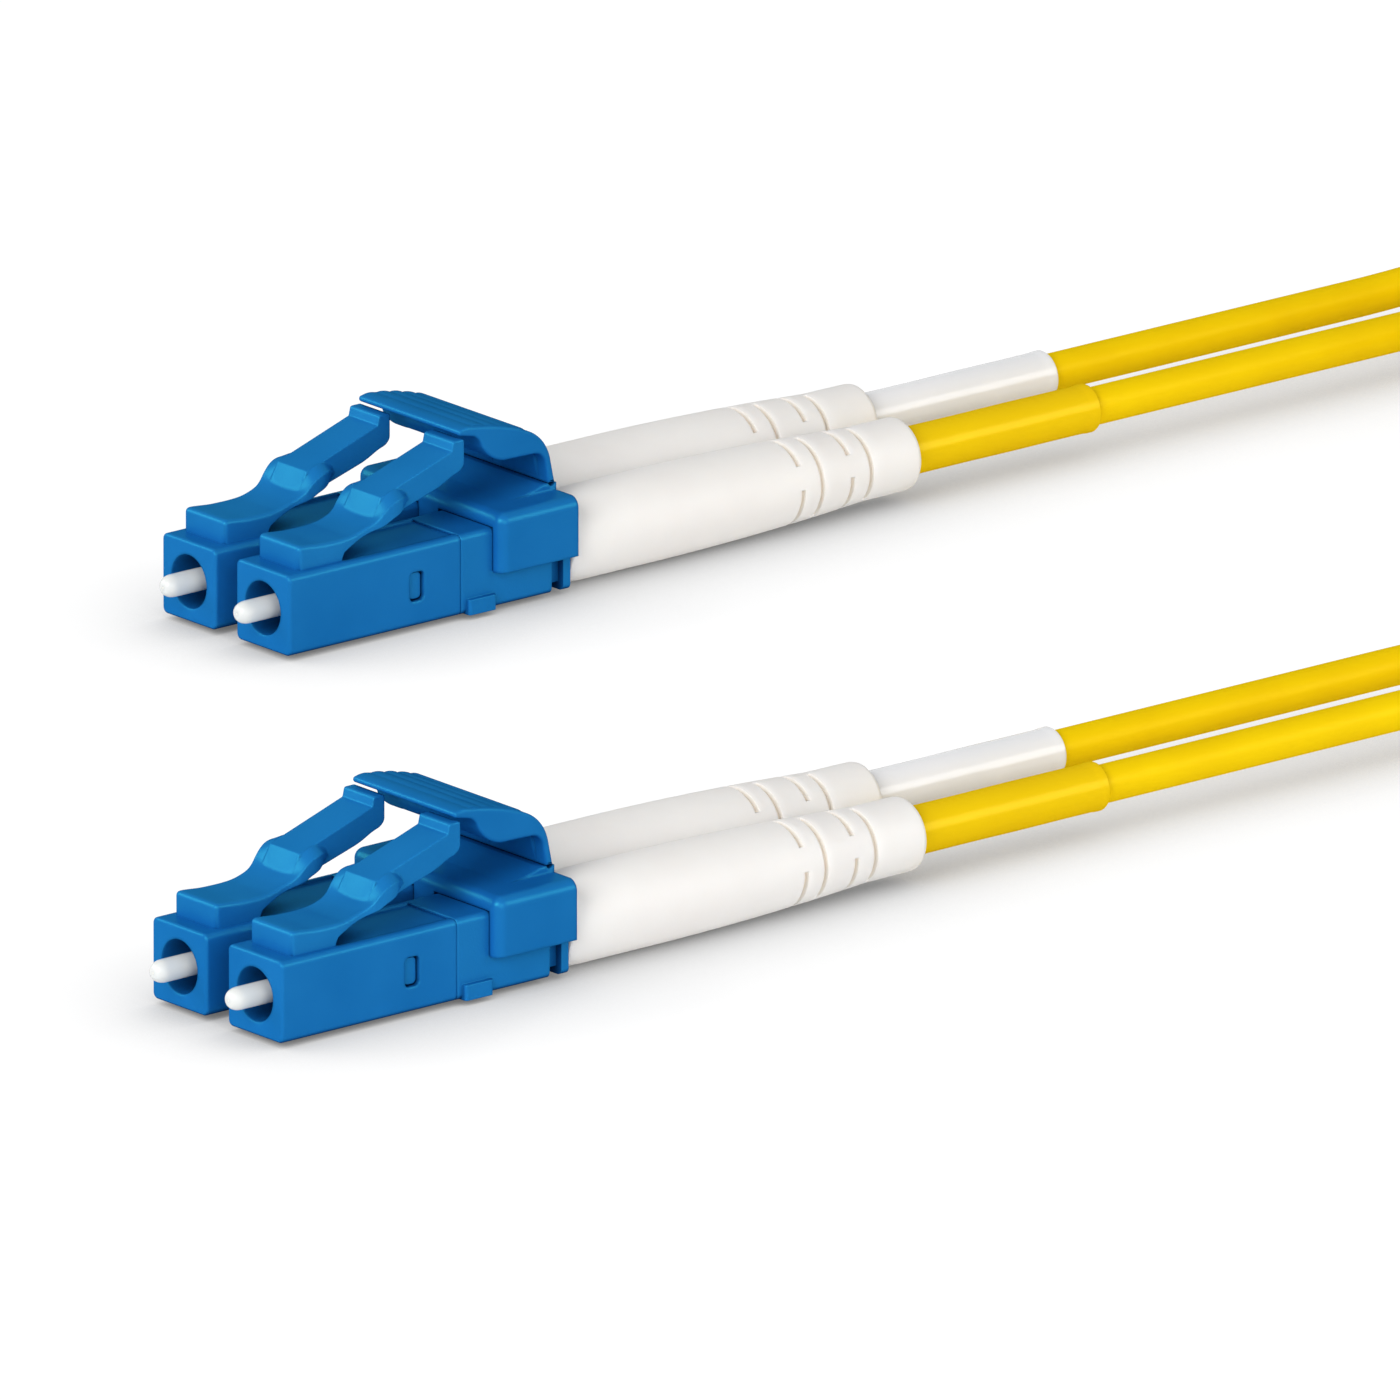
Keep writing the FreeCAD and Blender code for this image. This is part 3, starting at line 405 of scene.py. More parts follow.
@dataclass(frozen=True)
class Metal:
    """A turned or drawn metal with fine lines across or along the plug's axis."""

    name: str
    colour: Triple
    drift: Triple
    roughness: tuple[float, float] = (0.18, 0.36)
    lines: Triple = (14.0, 0.5, 0.5)
    line_strength: float = 0.35
    line_depth: float = 0.003

    def make(self) -> bpy.types.Material:
        """Builds the material.

        Returns:
            The new material.
        """
        g = Graph(bpy.data.materials.new(self.name))
        shader = g.node("BsdfPrincipled", Metallic=1.0)
        lines = g.noise(g.coordinates(self.lines, False), 1.0, 5.0)
        colour = g.blend(g.span(lines, 0.0, 1.0), linear(*self.colour), linear(*self.drift))
        g.link(colour, shader.inputs["Base Color"])
        g.link(g.span(lines, *self.roughness), shader.inputs["Roughness"])
        g.link(g.bump(lines, self.line_strength, self.line_depth).outputs["Normal"], shader.inputs["Normal"])
        g.link(shader.outputs["BSDF"], g.output.inputs["Surface"])
        return g.owner


BLUE = ((16, 94, 164), (21, 101, 171))
BLUE_SHEEN = (90, 250, 245)
# The painted shade colour that the blue's recesses darken to.
BLUE_PAINTED_SHADE = (4, 38, 80)
FINISHES = {finish.name: finish for finish in (
    Plastic("blue_plastic", *BLUE, roughness=(0.28, 0.28), specular=0.0, sheen=BLUE_SHEEN,
            sheen_share=0.045, deep=BLUE_PAINTED_SHADE, edge=0.25, grain_depth=0.0),
    Plastic("blue_grained", *BLUE, roughness=(0.36, 0.36), specular=0.0, sheen=BLUE_SHEEN,
            sheen_share=0.06, deep=BLUE_PAINTED_SHADE, edge=0.1, grain_per_mm=8.0, grain_depth=0.012,
            grain_strength=0.7),
    Plastic("white_ceramic", (222, 224, 222), (216, 219, 218), roughness=(0.14, 0.24), specular=0.4,
            grain_per_mm=20.0, grain_depth=0.0006, soft=0.25, flow=True, stretch=(1.0, 0.3, 0.3)),
    # The boot's cut grooves take a painted shade.
    Plastic("white_boot", (238, 236, 233), (234, 231, 228), roughness=(0.42, 0.55), specular=0.35,
            grain_per_mm=7.0, grain_depth=0.005, soft=0.3, tint=(236, 228, 216), flow=True),
    Plastic("yellow_sleeve", (235, 196, 4), (231, 191, 4), roughness=(0.2, 0.26), specular=0.0,
            sheen=(255, 232, 100), sheen_share=0.05, grain_per_mm=3.0, grain_depth=0.0012, flow=True,
            stretch=(0.3, 1.0, 1.0)),
    Plastic("white_sleeve", (236, 236, 238), (231, 232, 234), roughness=(0.16, 0.22), specular=0.55,
            grain_per_mm=3.0, grain_depth=0.0012, coat=0.2, flow=True, stretch=(0.3, 1.0, 1.0)),
    Plastic("yellow_jacket", (242, 205, 6), (238, 199, 6), roughness=(0.34, 0.46), specular=0.0,
            sheen=(255, 230, 90), sheen_share=0.04, grain_per_mm=6.0, grain_depth=0.005, soft=0.08,
            flow=True, stretch=(0.12, 1.0, 1.0)),
    Plastic("tie_plastic", (232, 232, 226), (222, 223, 217), roughness=(0.35, 0.5), soft=0.35,
            grain_per_mm=8.0),
    Plastic("clear_plastic", (226, 229, 231), (215, 219, 222), roughness=(0.25, 0.4), soft=0.2,
            stretch=(0.2, 1.0, 1.0)),
    Plastic("fiber_buffer", (240, 240, 232), (232, 232, 224), roughness=(0.35, 0.5), soft=0.1,
            stretch=(0.2, 1.0, 1.0)),
    Metal("plated_metal", (196, 198, 200), (170, 172, 175)),
    Metal("crimp_metal", (205, 190, 150), (184, 168, 128), lines=(0.6, 12.0, 12.0)),
    Metal("spring_steel", (175, 178, 182), (140, 143, 148), lines=(6.0, 6.0, 6.0)),
)}
MATERIALS: dict[str, bpy.types.Material] = {}


def material(name: str) -> bpy.types.Material:
    """Gives the material of a finish, made once.

    Args:
        name: The finish's name.

    Returns:
        The material.
    """
    if name not in MATERIALS:
        MATERIALS[name] = FINISHES[name].make()
    return MATERIALS[name]


# Meshes


def rows(*values: object) -> np.ndarray:
    """A dataclass field whose default is an array of the given rows or numbers."""
    return field(default_factory=lambda: np.array(values, float))


@dataclass
class Shell:
    """A closed surface in millimetres.

    Attributes:
        points: The points, one row each.
        faces: The faces as lists of point numbers.
        flow: The points as they would lie if the piece were straight, for patterns.
        mark: How strongly each point takes the finish's painted groove shade.
    """

    points: np.ndarray
    faces: list[list[int]]
    flow: np.ndarray
    mark: np.ndarray

    def moved(self, x: float, y: float) -> "Shell":
        """The same shell, shifted from the plug's own frame to its place."""
        return Shell(self.points + (x, y, AXIS_Z), self.faces, self.flow, self.mark)


def grid_faces(count: int, columns: int, ring: bool) -> list[list[int]]:
    """Faces of a grid of points whose columns close on themselves.

    Args:
        count: How many rows there are.
        columns: Points in each row.
        ring: The last row joins the first too.

    Returns:
        Four point numbers for each cell.
    """
    row = np.arange(count if ring else count - 1)[:, None]
    column = np.arange(columns)[None, :]
    after, beside = (row + 1) % count, (column + 1) % columns
    cells = np.stack([row * columns + column, row * columns + beside,
                      after * columns + beside, after * columns + column], -1)
    return cells.reshape(-1, 4).tolist()


def loft(grid: np.ndarray, ring: bool = False, flow: np.ndarray | None = None,
         mark: np.ndarray | None = None) -> Shell:
    """A closed shell through rows of points that close on themselves.

    Args:
        grid: Points as (rows, columns, 3).
        ring: Joins the last row to the first, as for a bore, instead of capping both flat.
        flow: Straightened points of the same shape, or None for the points themselves.
        mark: How much painted groove shade the same rows and columns take, or None for none.

    Returns:
        The closed shell.
    """
    count, columns = grid.shape[:2]
    faces = grid_faces(count, columns, ring)
    if not ring:
        faces.append(list(range(columns))[::-1])
        faces.append(list(range((count - 1) * columns, count * columns)))
    points = grid.reshape(-1, 3)
    return Shell(points, faces, points if flow is None else flow.reshape(-1, 3),
                 np.zeros(len(points)) if mark is None else mark.reshape(-1))


def outward(shell: Shell) -> list[list[int]]:
    """The faces of a closed shell, turned outwards where its signed volume is negative.

    The volume is a sixth of the sum, over each face's first three corners and its last, of the triple
    product of the corners measured from the shell's middle.

    Args:
        shell: The shell.

    Returns:
        Its faces.
    """
    corner = np.array([[f[0], f[1], f[2], f[-1]] for f in shell.faces])
    centre = shell.points - shell.points.mean(0)
    a, b, c, d = (centre[corner[:, k]] for k in range(4))
    volume = (a * np.cross(b, c)).sum() + (a * np.cross(c, d)).sum()
    return shell.faces if volume > 0 else [f[::-1] for f in shell.faces]


def added(name: str, data: bpy.types.ID) -> bpy.types.Object:
    """Puts a mesh, a curve, a lamp or a camera into the scene.

    Args:
        name: The object's name.
        data: What it shows.

    Returns:
        The new object.
    """
    made = bpy.data.objects.new(name, data)
    bpy.context.scene.collection.objects.link(made)
    return made


def piece(name: str, shells: list[Shell], finish: str, nodes: tuple[str, ...],
          body: str | None = "patch_cord", sharp: float = 38.0) -> bpy.types.Object:
    """Puts shells into one object that rides on a body, if one is given.

    Args:
        name: The piece's name.
        shells: Its closed surfaces, in millimetres.
        finish: The finish's name.
        nodes: The CAD nodes it stands for.
        body: The body it rides on, or None for a piece that rides on none.
        sharp: Edges above this many degrees stay sharp.

    Returns:
        The new object.
    """
    faces, start = [], 0
    for shell in shells:
        faces += [[n + start for n in f] for f in outward(shell)]
        start += len(shell.points)
    mesh = bpy.data.meshes.new(name)
    mesh.from_pydata((np.concatenate([s.points for s in shells]) * MM).tolist(), [], faces)
    flow = np.concatenate([s.flow for s in shells]).astype(np.float32)
    mesh.attributes.new("flow", "FLOAT_VECTOR", "POINT").data.foreach_set("vector", flow.ravel())
    # Each point's share of the painted groove shade, kept on the mesh for the material.
    mark = np.concatenate([s.mark for s in shells]).astype(np.float32)
    mesh.attributes.new("mark", "FLOAT", "POINT").data.foreach_set("value", mark)
    mesh.shade_smooth()
    mesh.set_sharp_from_angle(angle=math.radians(sharp))
    mesh.materials.append(material(finish))
    made = added(name, mesh)
    if body:
        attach(made, body)
    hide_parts(*nodes)
    LOG.info("%s: %d faces", name, len(faces))
    return made


def smooth_line(knots: np.ndarray, at: np.ndarray) -> np.ndarray:
    """A smooth curve through knots of x and value, read at the given x.

    Each span is a cubic between its two knots, whose slopes are the mean slopes of the spans beside them.

    Args:
        knots: Rows of x and value, x growing.
        at: Where to read the curve.

    Returns:
        The values.
    """
    x, y = knots[:, 0], knots[:, 1]
    slope = np.gradient(y, x)
    span = np.clip(np.searchsorted(x, at, side="right") - 1, 0, len(x) - 2)
    width = x[span + 1] - x[span]
    t = np.clip((at - x[span]) / width, 0, 1)
    return ((2 * t ** 3 - 3 * t ** 2 + 1) * y[span] + (t ** 3 - 2 * t ** 2 + t) * width * slope[span]
            + (3 * t ** 2 - 2 * t ** 3) * y[span + 1] + (t ** 3 - t ** 2) * width * slope[span + 1])


def rounded_outline(corners: np.ndarray, radii: np.ndarray, steps: int = 7, most: float = 0.48) -> np.ndarray:
    """A closed outline with each corner rounded.

    A corner becomes the parabola whose ends lie its radius away on the two sides and whose control point
    is the corner.

    Args:
        corners: The corners in order, as rows of two.
        radii: How far from each corner its rounding starts.
        steps: Points on each rounding.
        most: The largest share of a side that a rounding takes.

    Returns:
        The outline's points in order.
    """
    ends = []
    for neighbour in (np.roll(corners, 1, 0), np.roll(corners, -1, 0)):
        way = neighbour - corners
        far = np.linalg.norm(way, axis=1, keepdims=True)
        ends.append((corners + way / far * np.minimum(radii[:, None], far * most))[:, None])
    t = np.linspace(0, 1, steps)[None, :, None]
    curve = (1 - t) ** 2 * ends[0] + 2 * t * (1 - t) * corners[:, None] + t ** 2 * ends[1]
    return curve.reshape(-1, 2)


def inset(outline: np.ndarray, depth: float) -> np.ndarray:
    """Moves each point of a closed outline inwards along its normal.

    Args:
        outline: The outline's points.
        depth: How far.

    Returns:
        The moved points.
    """
    area = np.sum(outline[:, 0] * np.roll(outline[:, 1], -1) - np.roll(outline[:, 0], -1) * outline[:, 1])
    way = np.roll(outline, -1, 0) - np.roll(outline, 1, 0)
    normal = np.stack([-way[:, 1], way[:, 0]], -1) * np.sign(area)
    return outline + normal / np.linalg.norm(normal, axis=1, keepdims=True) * depth


def rounding(outline: np.ndarray, half: float, edge: float, flat: float = 0.02) -> list[View]:
    """The side views of a piece's rounded long edge, from its end face inwards.

    A view stands edge * (1 - cos a) inside the end face and is drawn in by edge * (1 - sin a), for a from
    0 to 90 degrees.

    Args:
        outline: The side view as points of x and z.
        half: Half the piece's width.
        edge: The radius of the rounding.
        flat: How much further in a first view lies, which keeps the end face's shading flat.

    Returns:
        A place across and an outline for each view.
    """
    views = [(half, inset(outline, edge + flat))]
    for a in np.radians(np.linspace(0, 90, 5)):
        views.append((half - edge * (1 - math.cos(a)), inset(outline, edge * (1 - math.sin(a)))))
    return views


def across(views: list[View]) -> Shell:
    """A shell through side views and then through their mirror images.

    Args:
        views: A place across and an outline for each view, from the end face inwards.

    Returns:
        The closed shell.
    """
    both = views + [(-y, outline) for y, outline in views[::-1]]
    return loft(np.stack([np.column_stack([o[:, 0], np.full(len(o), y), o[:, 1]]) for y, o in both]))


def turned(place: np.ndarray, radius: np.ndarray, columns: int) -> np.ndarray:
    """Points turned about the plug's axis.

    Args:
        place: X of each row.
        radius: The radius of each row, or of each row and column.
        columns: Points round the axis.

    Returns:
        Points as (rows, columns, 3).
    """
    angle = np.linspace(0, 2 * math.pi, columns, endpoint=False)
    reach = np.broadcast_to(radius if radius.ndim > 1 else radius[:, None], (len(place), columns))
    x = np.broadcast_to(place[:, None], reach.shape)
    return np.stack([x, reach * np.cos(angle), reach * np.sin(angle)], -1)


def rim_steps(*degrees: float) -> tuple[np.ndarray, np.ndarray]:
    """The cosines and sines of the given angles, at which a rounded rim has its points."""
    return np.cos(np.radians(degrees)), np.sin(np.radians(degrees))


# Camera, floor and light


@dataclass(frozen=True)
class Lamp:
    """A soft round lamp, with its direction, its size in millimetres and its power in watts."""

    name: str
    way: Triple
    size: float
    power: float
    far: float = 2000.0


@dataclass
class Studio:
    """The camera at the photograph's angle, a pale floor, soft lamps and a white world."""

    azimuth: float = -39.74
    elevation: float = 17.182
    target: Triple = (0.328, -4.395, 2.55)
    width: float = 74.541
    lens: float = 1600.0
    sensor: float = 36.0
    near_clip: float = 0.1
    far_clip: float = 30.0
    floor_size: float = 3000.0
    floor_paper: tuple[float, float] = (0.93, 0.92)
    floor_lit: float = 0.2
    floor_glow: float = 0.88
    # The floor's glow where the object covers all the sky, which sets how dark the painted shadow gets.
    floor_painted_shadow: float = 0.12
    painted_shadow_reach: float = 10.0
    ambient: float = 0.22
    lamps: tuple[Lamp, ...] = (
        Lamp("key", (-0.84, -0.30, 0.50), 1300.0, 28.0), Lamp("fill", (-0.30, -0.88, 0.30), 1700.0, 15.0),
        Lamp("right", (0.61, -0.73, 0.34), 1000.0, 8.0), Lamp("left", (-0.55, 0.72, 0.42), 1200.0, 14.0))

    def camera(self) -> None:
        """Makes the scene's camera, which looks at the target from its azimuth and elevation."""
        data = bpy.data.cameras.new("camera")
        data.lens, data.sensor_width = self.lens, self.sensor
        data.clip_start, data.clip_end = self.near_clip, self.far_clip
        a, e = math.radians(self.azimuth), math.radians(self.elevation)
        toward = Vector((math.sin(a) * math.cos(e), -math.cos(a) * math.cos(e), math.sin(e)))
        made = added("camera", data)
        made.location = Vector(self.target) * MM + toward * (self.width * MM * self.lens / self.sensor)
        made.rotation_mode = "QUATERNION"
        made.rotation_quaternion = (-toward).to_track_quat("-Z", "Y")
        bpy.context.scene.camera = made

    def light(self) -> None:
        """Adds the lamps, and a world that is white where it is seen and dim as a light."""
        for lamp in self.lamps:
            data = bpy.data.lights.new(lamp.name, "AREA")
            data.shape, data.size, data.energy = "DISK", lamp.size * MM, lamp.power
            made = added(lamp.name, data)
            direction = Vector(lamp.way).normalized()
            made.location = direction * lamp.far * MM
            made.rotation_mode = "QUATERNION"
            made.rotation_quaternion = direction.to_track_quat("Z", "Y")
        g = Graph(bpy.data.worlds.new("world"), "OutputWorld")
        bpy.context.scene.world = g.owner
        path = g.node("LightPath").outputs
        seen = g.fed("Math", path["Is Camera Ray"], path["Is Transmission Ray"], operation="MAXIMUM")
        seen = g.fed("Math", seen, path["Is Glossy Ray"], operation="MAXIMUM")
        back = g.node("Background", Color=grey(1.0))
        g.link(g.span(seen, self.ambient, 1.0, 0.0, 1.0), back.inputs["Strength"])
        g.link(back.outputs["Background"], g.output.inputs["Surface"])

    def floor(self) -> None:
        """Lays the pale floor, which shows white with a painted soft shadow near the object.

        Seen by the camera, most of its light is its own glow, dimmed near the object by how much of the sky
        the object covers as a painted shadow, and the rest is the lamps' light. For every other ray it is
        plain pale paper.
        """
        half = self.floor_size * MM / 2
        mesh = bpy.data.meshes.new("floor")
        mesh.from_pydata([(-half, -half, 0), (half, -half, 0), (half, half, 0), (-half, half, 0)], [],
                         [(0, 1, 2, 3)])
        g = Graph(bpy.data.materials.new("floor"))
        paper = g.span(g.noise(g.coordinates((0.02, 0.02, 0.02), False), 1.0), 0.0, 1.0)
        shader = g.node("BsdfDiffuse")
        g.link(g.blend(paper, *(grey(value) for value in self.floor_paper)), shader.inputs["Color"])
        lit = g.node("BsdfDiffuse", Color=grey(self.floor_lit))
        # Painted shadow: the floor's own glow dims where the object covers the sky.
        glow = g.node("Emission")
        g.link(g.span(g.openness(self.painted_shadow_reach, 8), self.floor_painted_shadow, self.floor_glow, 0.0, 1.0),
               glow.inputs["Strength"])
        seen = g.fed("AddShader", lit.outputs["BSDF"], glow.outputs["Emission"])
        camera_ray = g.node("LightPath").outputs["Is Camera Ray"]
        g.link(g.fed("MixShader", camera_ray, shader.outputs["BSDF"], seen), g.output.inputs["Surface"])
        mesh.materials.append(g.owner)
        added("floor", mesh)


# Cord


@dataclass
class Strand:
    """One yellow strand from end a's plug through the coil to end b's plug.

    The strand's control points are the route's own, and the pair's section stands upright up to the climb
    between the two layers and leans from there on.

    Attributes:
        lane: The plug it belongs to at both ends.
        side: 1 for the upper strand of the joined pair and -1 for the lower one.
        start: Control points from end a's plug to the coil.
        finish: Control points from end b's plug to the lead.
        spline_share: How far out a spline of 24 points a turn runs, as a share of its points' radius.
        web_half_angle: The web's half angle on the strand, in degrees.
        web_fade: Over how many degrees the web runs out.
        web_limit: The angle, in radians, up to which the plane between the strands is worked out.
        parting: How much wider than in the pair the strands stand where the web begins.
        joining: Over how much of that width it grows to full.
        overlap: How far the two halves of the web reach into each other.
    """

    lane: Lane
    side: int
    start: np.ndarray
    finish: np.ndarray
    centre_x: float = 102.0
    outer: float = 26.5
    pitch: float = 3.0
    half_turns: int = 5
    climb_inset: float = 0.7
    layers: tuple[float, float] = (2.825, 7.525)
    lean: float = 0.2461
    per_half_turn: int = 12
    spline_share: float = 0.9915
    lead: tuple[tuple[float, float], ...] = ((97.6, 7.525), (84.0, 7.525), (68.5, 2.125))
    mitre: float = 0.1689
    web_half_angle: float = 18.0
    web_fade: float = 8.0
    web_limit: float = 1.2
    parting: float = 0.35
    joining: float = 0.3
    overlap: float = 0.004
    columns: int = 32

    @property
    def name(self) -> str:
        """The strand's name."""
        return f"strand_{self.lane.number}"

    def coil(self) -> np.ndarray:
        """Control points of the coil.

        The radius falls by half the pitch each half turn on the lower layer, dips by a sine squared
        through the climb, and grows again on the upper layer. The height follows 3t^2 - 2t^3 through the
        climb, and the pair leans by the climbed share of its full lean. The radius is divided by the
        share at which the spline runs.

        Returns:
            Points in millimetres, 24 for each turn.
        """
        half = np.arange(0, (2 * self.half_turns + 1) * self.per_half_turn + 1) / self.per_half_turn
        t = np.clip(half - self.half_turns, 0, 1)
        low = np.minimum(half, self.half_turns)
        high = np.maximum(half - self.half_turns - 1, 0)
        risen = 3 * t ** 2 - 2 * t ** 3
        lean = self.lean * risen
        offset = self.side * STRAND_STEP / 2
        radius = (self.outer - (low - high) * self.pitch / 2 - self.climb_inset * np.sin(t * math.pi) ** 2
                  - offset * np.sin(lean)) / self.spline_share
        height = self.layers[0] + (self.layers[1] - self.layers[0]) * risen + offset * np.cos(lean)
        angle = half * math.pi
        return np.column_stack([self.centre_x + radius * np.sin(angle), radius * np.cos(angle), height])

    def control_points(self) -> np.ndarray:
        """All the strand's control points.

        Returns:
            Points in millimetres, from end a's plug to end b's.
        """
        offset = self.side * STRAND_STEP / 2
        across_lead, up_lead = offset * math.sin(self.lean), offset * math.cos(self.lean)
        lead = np.array([(x - (up_lead * self.mitre if k else 0.0), -self.outer + across_lead, z + up_lead)
                         for k, (x, z) in enumerate(self.lead)])
        return np.concatenate([self.start, self.coil(), lead, self.finish[::-1]])

    def centreline(self) -> np.ndarray:
        """The strand's centreline, read from its spline of the control points.

        Returns:
            Points in millimetres.
        """
        points = self.control_points()
        data = bpy.data.curves.new(self.name + "_line", "CURVE")
        data.dimensions, data.resolution_u = "3D", 8
        spline = data.splines.new("NURBS")
        spline.points.add(len(points) - 1)
        spline.points.foreach_set("co", np.column_stack([points * MM, np.ones(len(points))]).ravel())
        spline.order_u = 3
        spline.use_endpoint_u = True
        holder = added(self.name + "_line", data)
        bpy.context.view_layer.update()
        mesh = bpy.data.meshes.new_from_object(holder)
        line = np.zeros(len(mesh.vertices) * 3)
        mesh.vertices.foreach_get("co", line)
        bpy.data.objects.remove(holder)
        return line.reshape(-1, 3) / MM

    def skin(self, line: np.ndarray, partner: np.ndarray) -> Shell:
        """The strand's jacket round its centreline, with half of the thin web towards its partner.

        Column a stands at angle a from the partner's direction, at the strand's radius, and within the
        web's angle it reaches the plane midway to the partner where the two strands are joined.

        Args:
            line: The strand's centreline.
            partner: The other strand's centreline, with as many points.

        Returns:
            The closed shell.
        """
        way = np.gradient(line, axis=0)
        way /= np.linalg.norm(way, axis=1, keepdims=True)
        to_partner = partner - line
        gap = np.linalg.norm(to_partner, axis=1)
        first = to_partner - (to_partner * way).sum(1, keepdims=True) * way
        first /= np.linalg.norm(first, axis=1, keepdims=True)
        second = np.cross(way, first)
        angle = np.linspace(-math.pi, math.pi, self.columns, endpoint=False)
        cosine, sine = np.cos(angle), np.sin(angle)
        turn = np.degrees(np.abs(angle))
        web = np.clip((self.web_half_angle + self.web_fade - turn) / self.web_fade, 0, 1)
        web = web * web * (3 - 2 * web)
        plane = STRAND_STEP / 2 / np.cos(np.clip(angle, -self.web_limit, self.web_limit)) + self.overlap
        joined = np.clip((STRAND_STEP + self.parting - gap) / self.joining, 0, 1)[:, None]
        share = web[None, :] * joined
        radius = STRAND_R * (1 - share) + plane[None, :] * share
        grid = line[:, None] + radius[..., None] * (cosine[None, :, None] * first[:, None]
                                                    + sine[None, :, None] * second[:, None])
        run = np.concatenate([[0], np.cumsum(np.linalg.norm(np.diff(line, axis=0), axis=1))])
        flow = np.stack([np.broadcast_to(run[:, None], radius.shape), radius * cosine, radius * sine], -1)
        return loft(grid, flow=flow)


@dataclass
class Cord:
    """The two strands, apart at the plugs and joined as a pair from there through the coil.

    Attributes:
        stations: Where the control points of an approach lie behind the plug's front face.
    """

    boot_end: float = 44.4
    stations: tuple[float, ...] = (24.7, 78.0, 85.3, 92.5, 99.6, 104.6)

    def approach(self, plug: Plug, parted: tuple[float, float], paired: tuple[float, float]) -> np.ndarray:
        """Control points of a strand from its plug to the joined pair.

        Args:
            plug: The plug.
            parted: The strand's Y and Z half way in.
            paired: Its Y and Z in the pair.

        Returns:
            Points in millimetres, the first three on the plug's axis and the last two in the pair.
        """
        own = (plug.y, AXIS_Z)
        places = (own, own, own, parted, paired, paired)
        return np.array([(plug.x + along, *place) for along, place in zip(self.stations, places)])

    def strands(self) -> tuple[Strand, Strand]:
        """The lower strand of the first lanes and the upper strand of the second ones.

        Returns:
            Both strands.
        """
        lower = Strand(Lane.NEAR, -1, self.approach(Plug(End.A, Lane.NEAR), (25.2, 1.83), (26.5, 1.75)),
                       self.approach(Plug(End.B, Lane.NEAR), (-28.0, 1.16), (-26.762, 1.082)))
        upper = Strand(Lane.FAR, 1, self.approach(Plug(End.A, Lane.FAR), (27.8, 3.83), (26.5, 3.9)),
                       self.approach(Plug(End.B, Lane.FAR), (-25.0, 3.1), (-26.238, 3.168)))
        return lower, upper

    def build(self) -> None:
        strands = self.strands()
        lines = [strand.centreline() for strand in strands]
        nodes = (("strand_leg_a1", "strand_leg_b1", "zip_lead"),
                 ("strand_leg_a2", "strand_leg_b2", "cord_coil"))
        for strand, line, partner, stands_for in zip(strands, lines, lines[::-1], nodes):
            made = piece(strand.name, [strand.skin(line, partner)], "yellow_jacket", stands_for)


# Plugs

ROOT_TOP = ((1.07, 3.58), (1.6, 3.56), (2.1, 3.51), (2.65, 3.455), (3.4, 3.43), (4.2, 3.43))


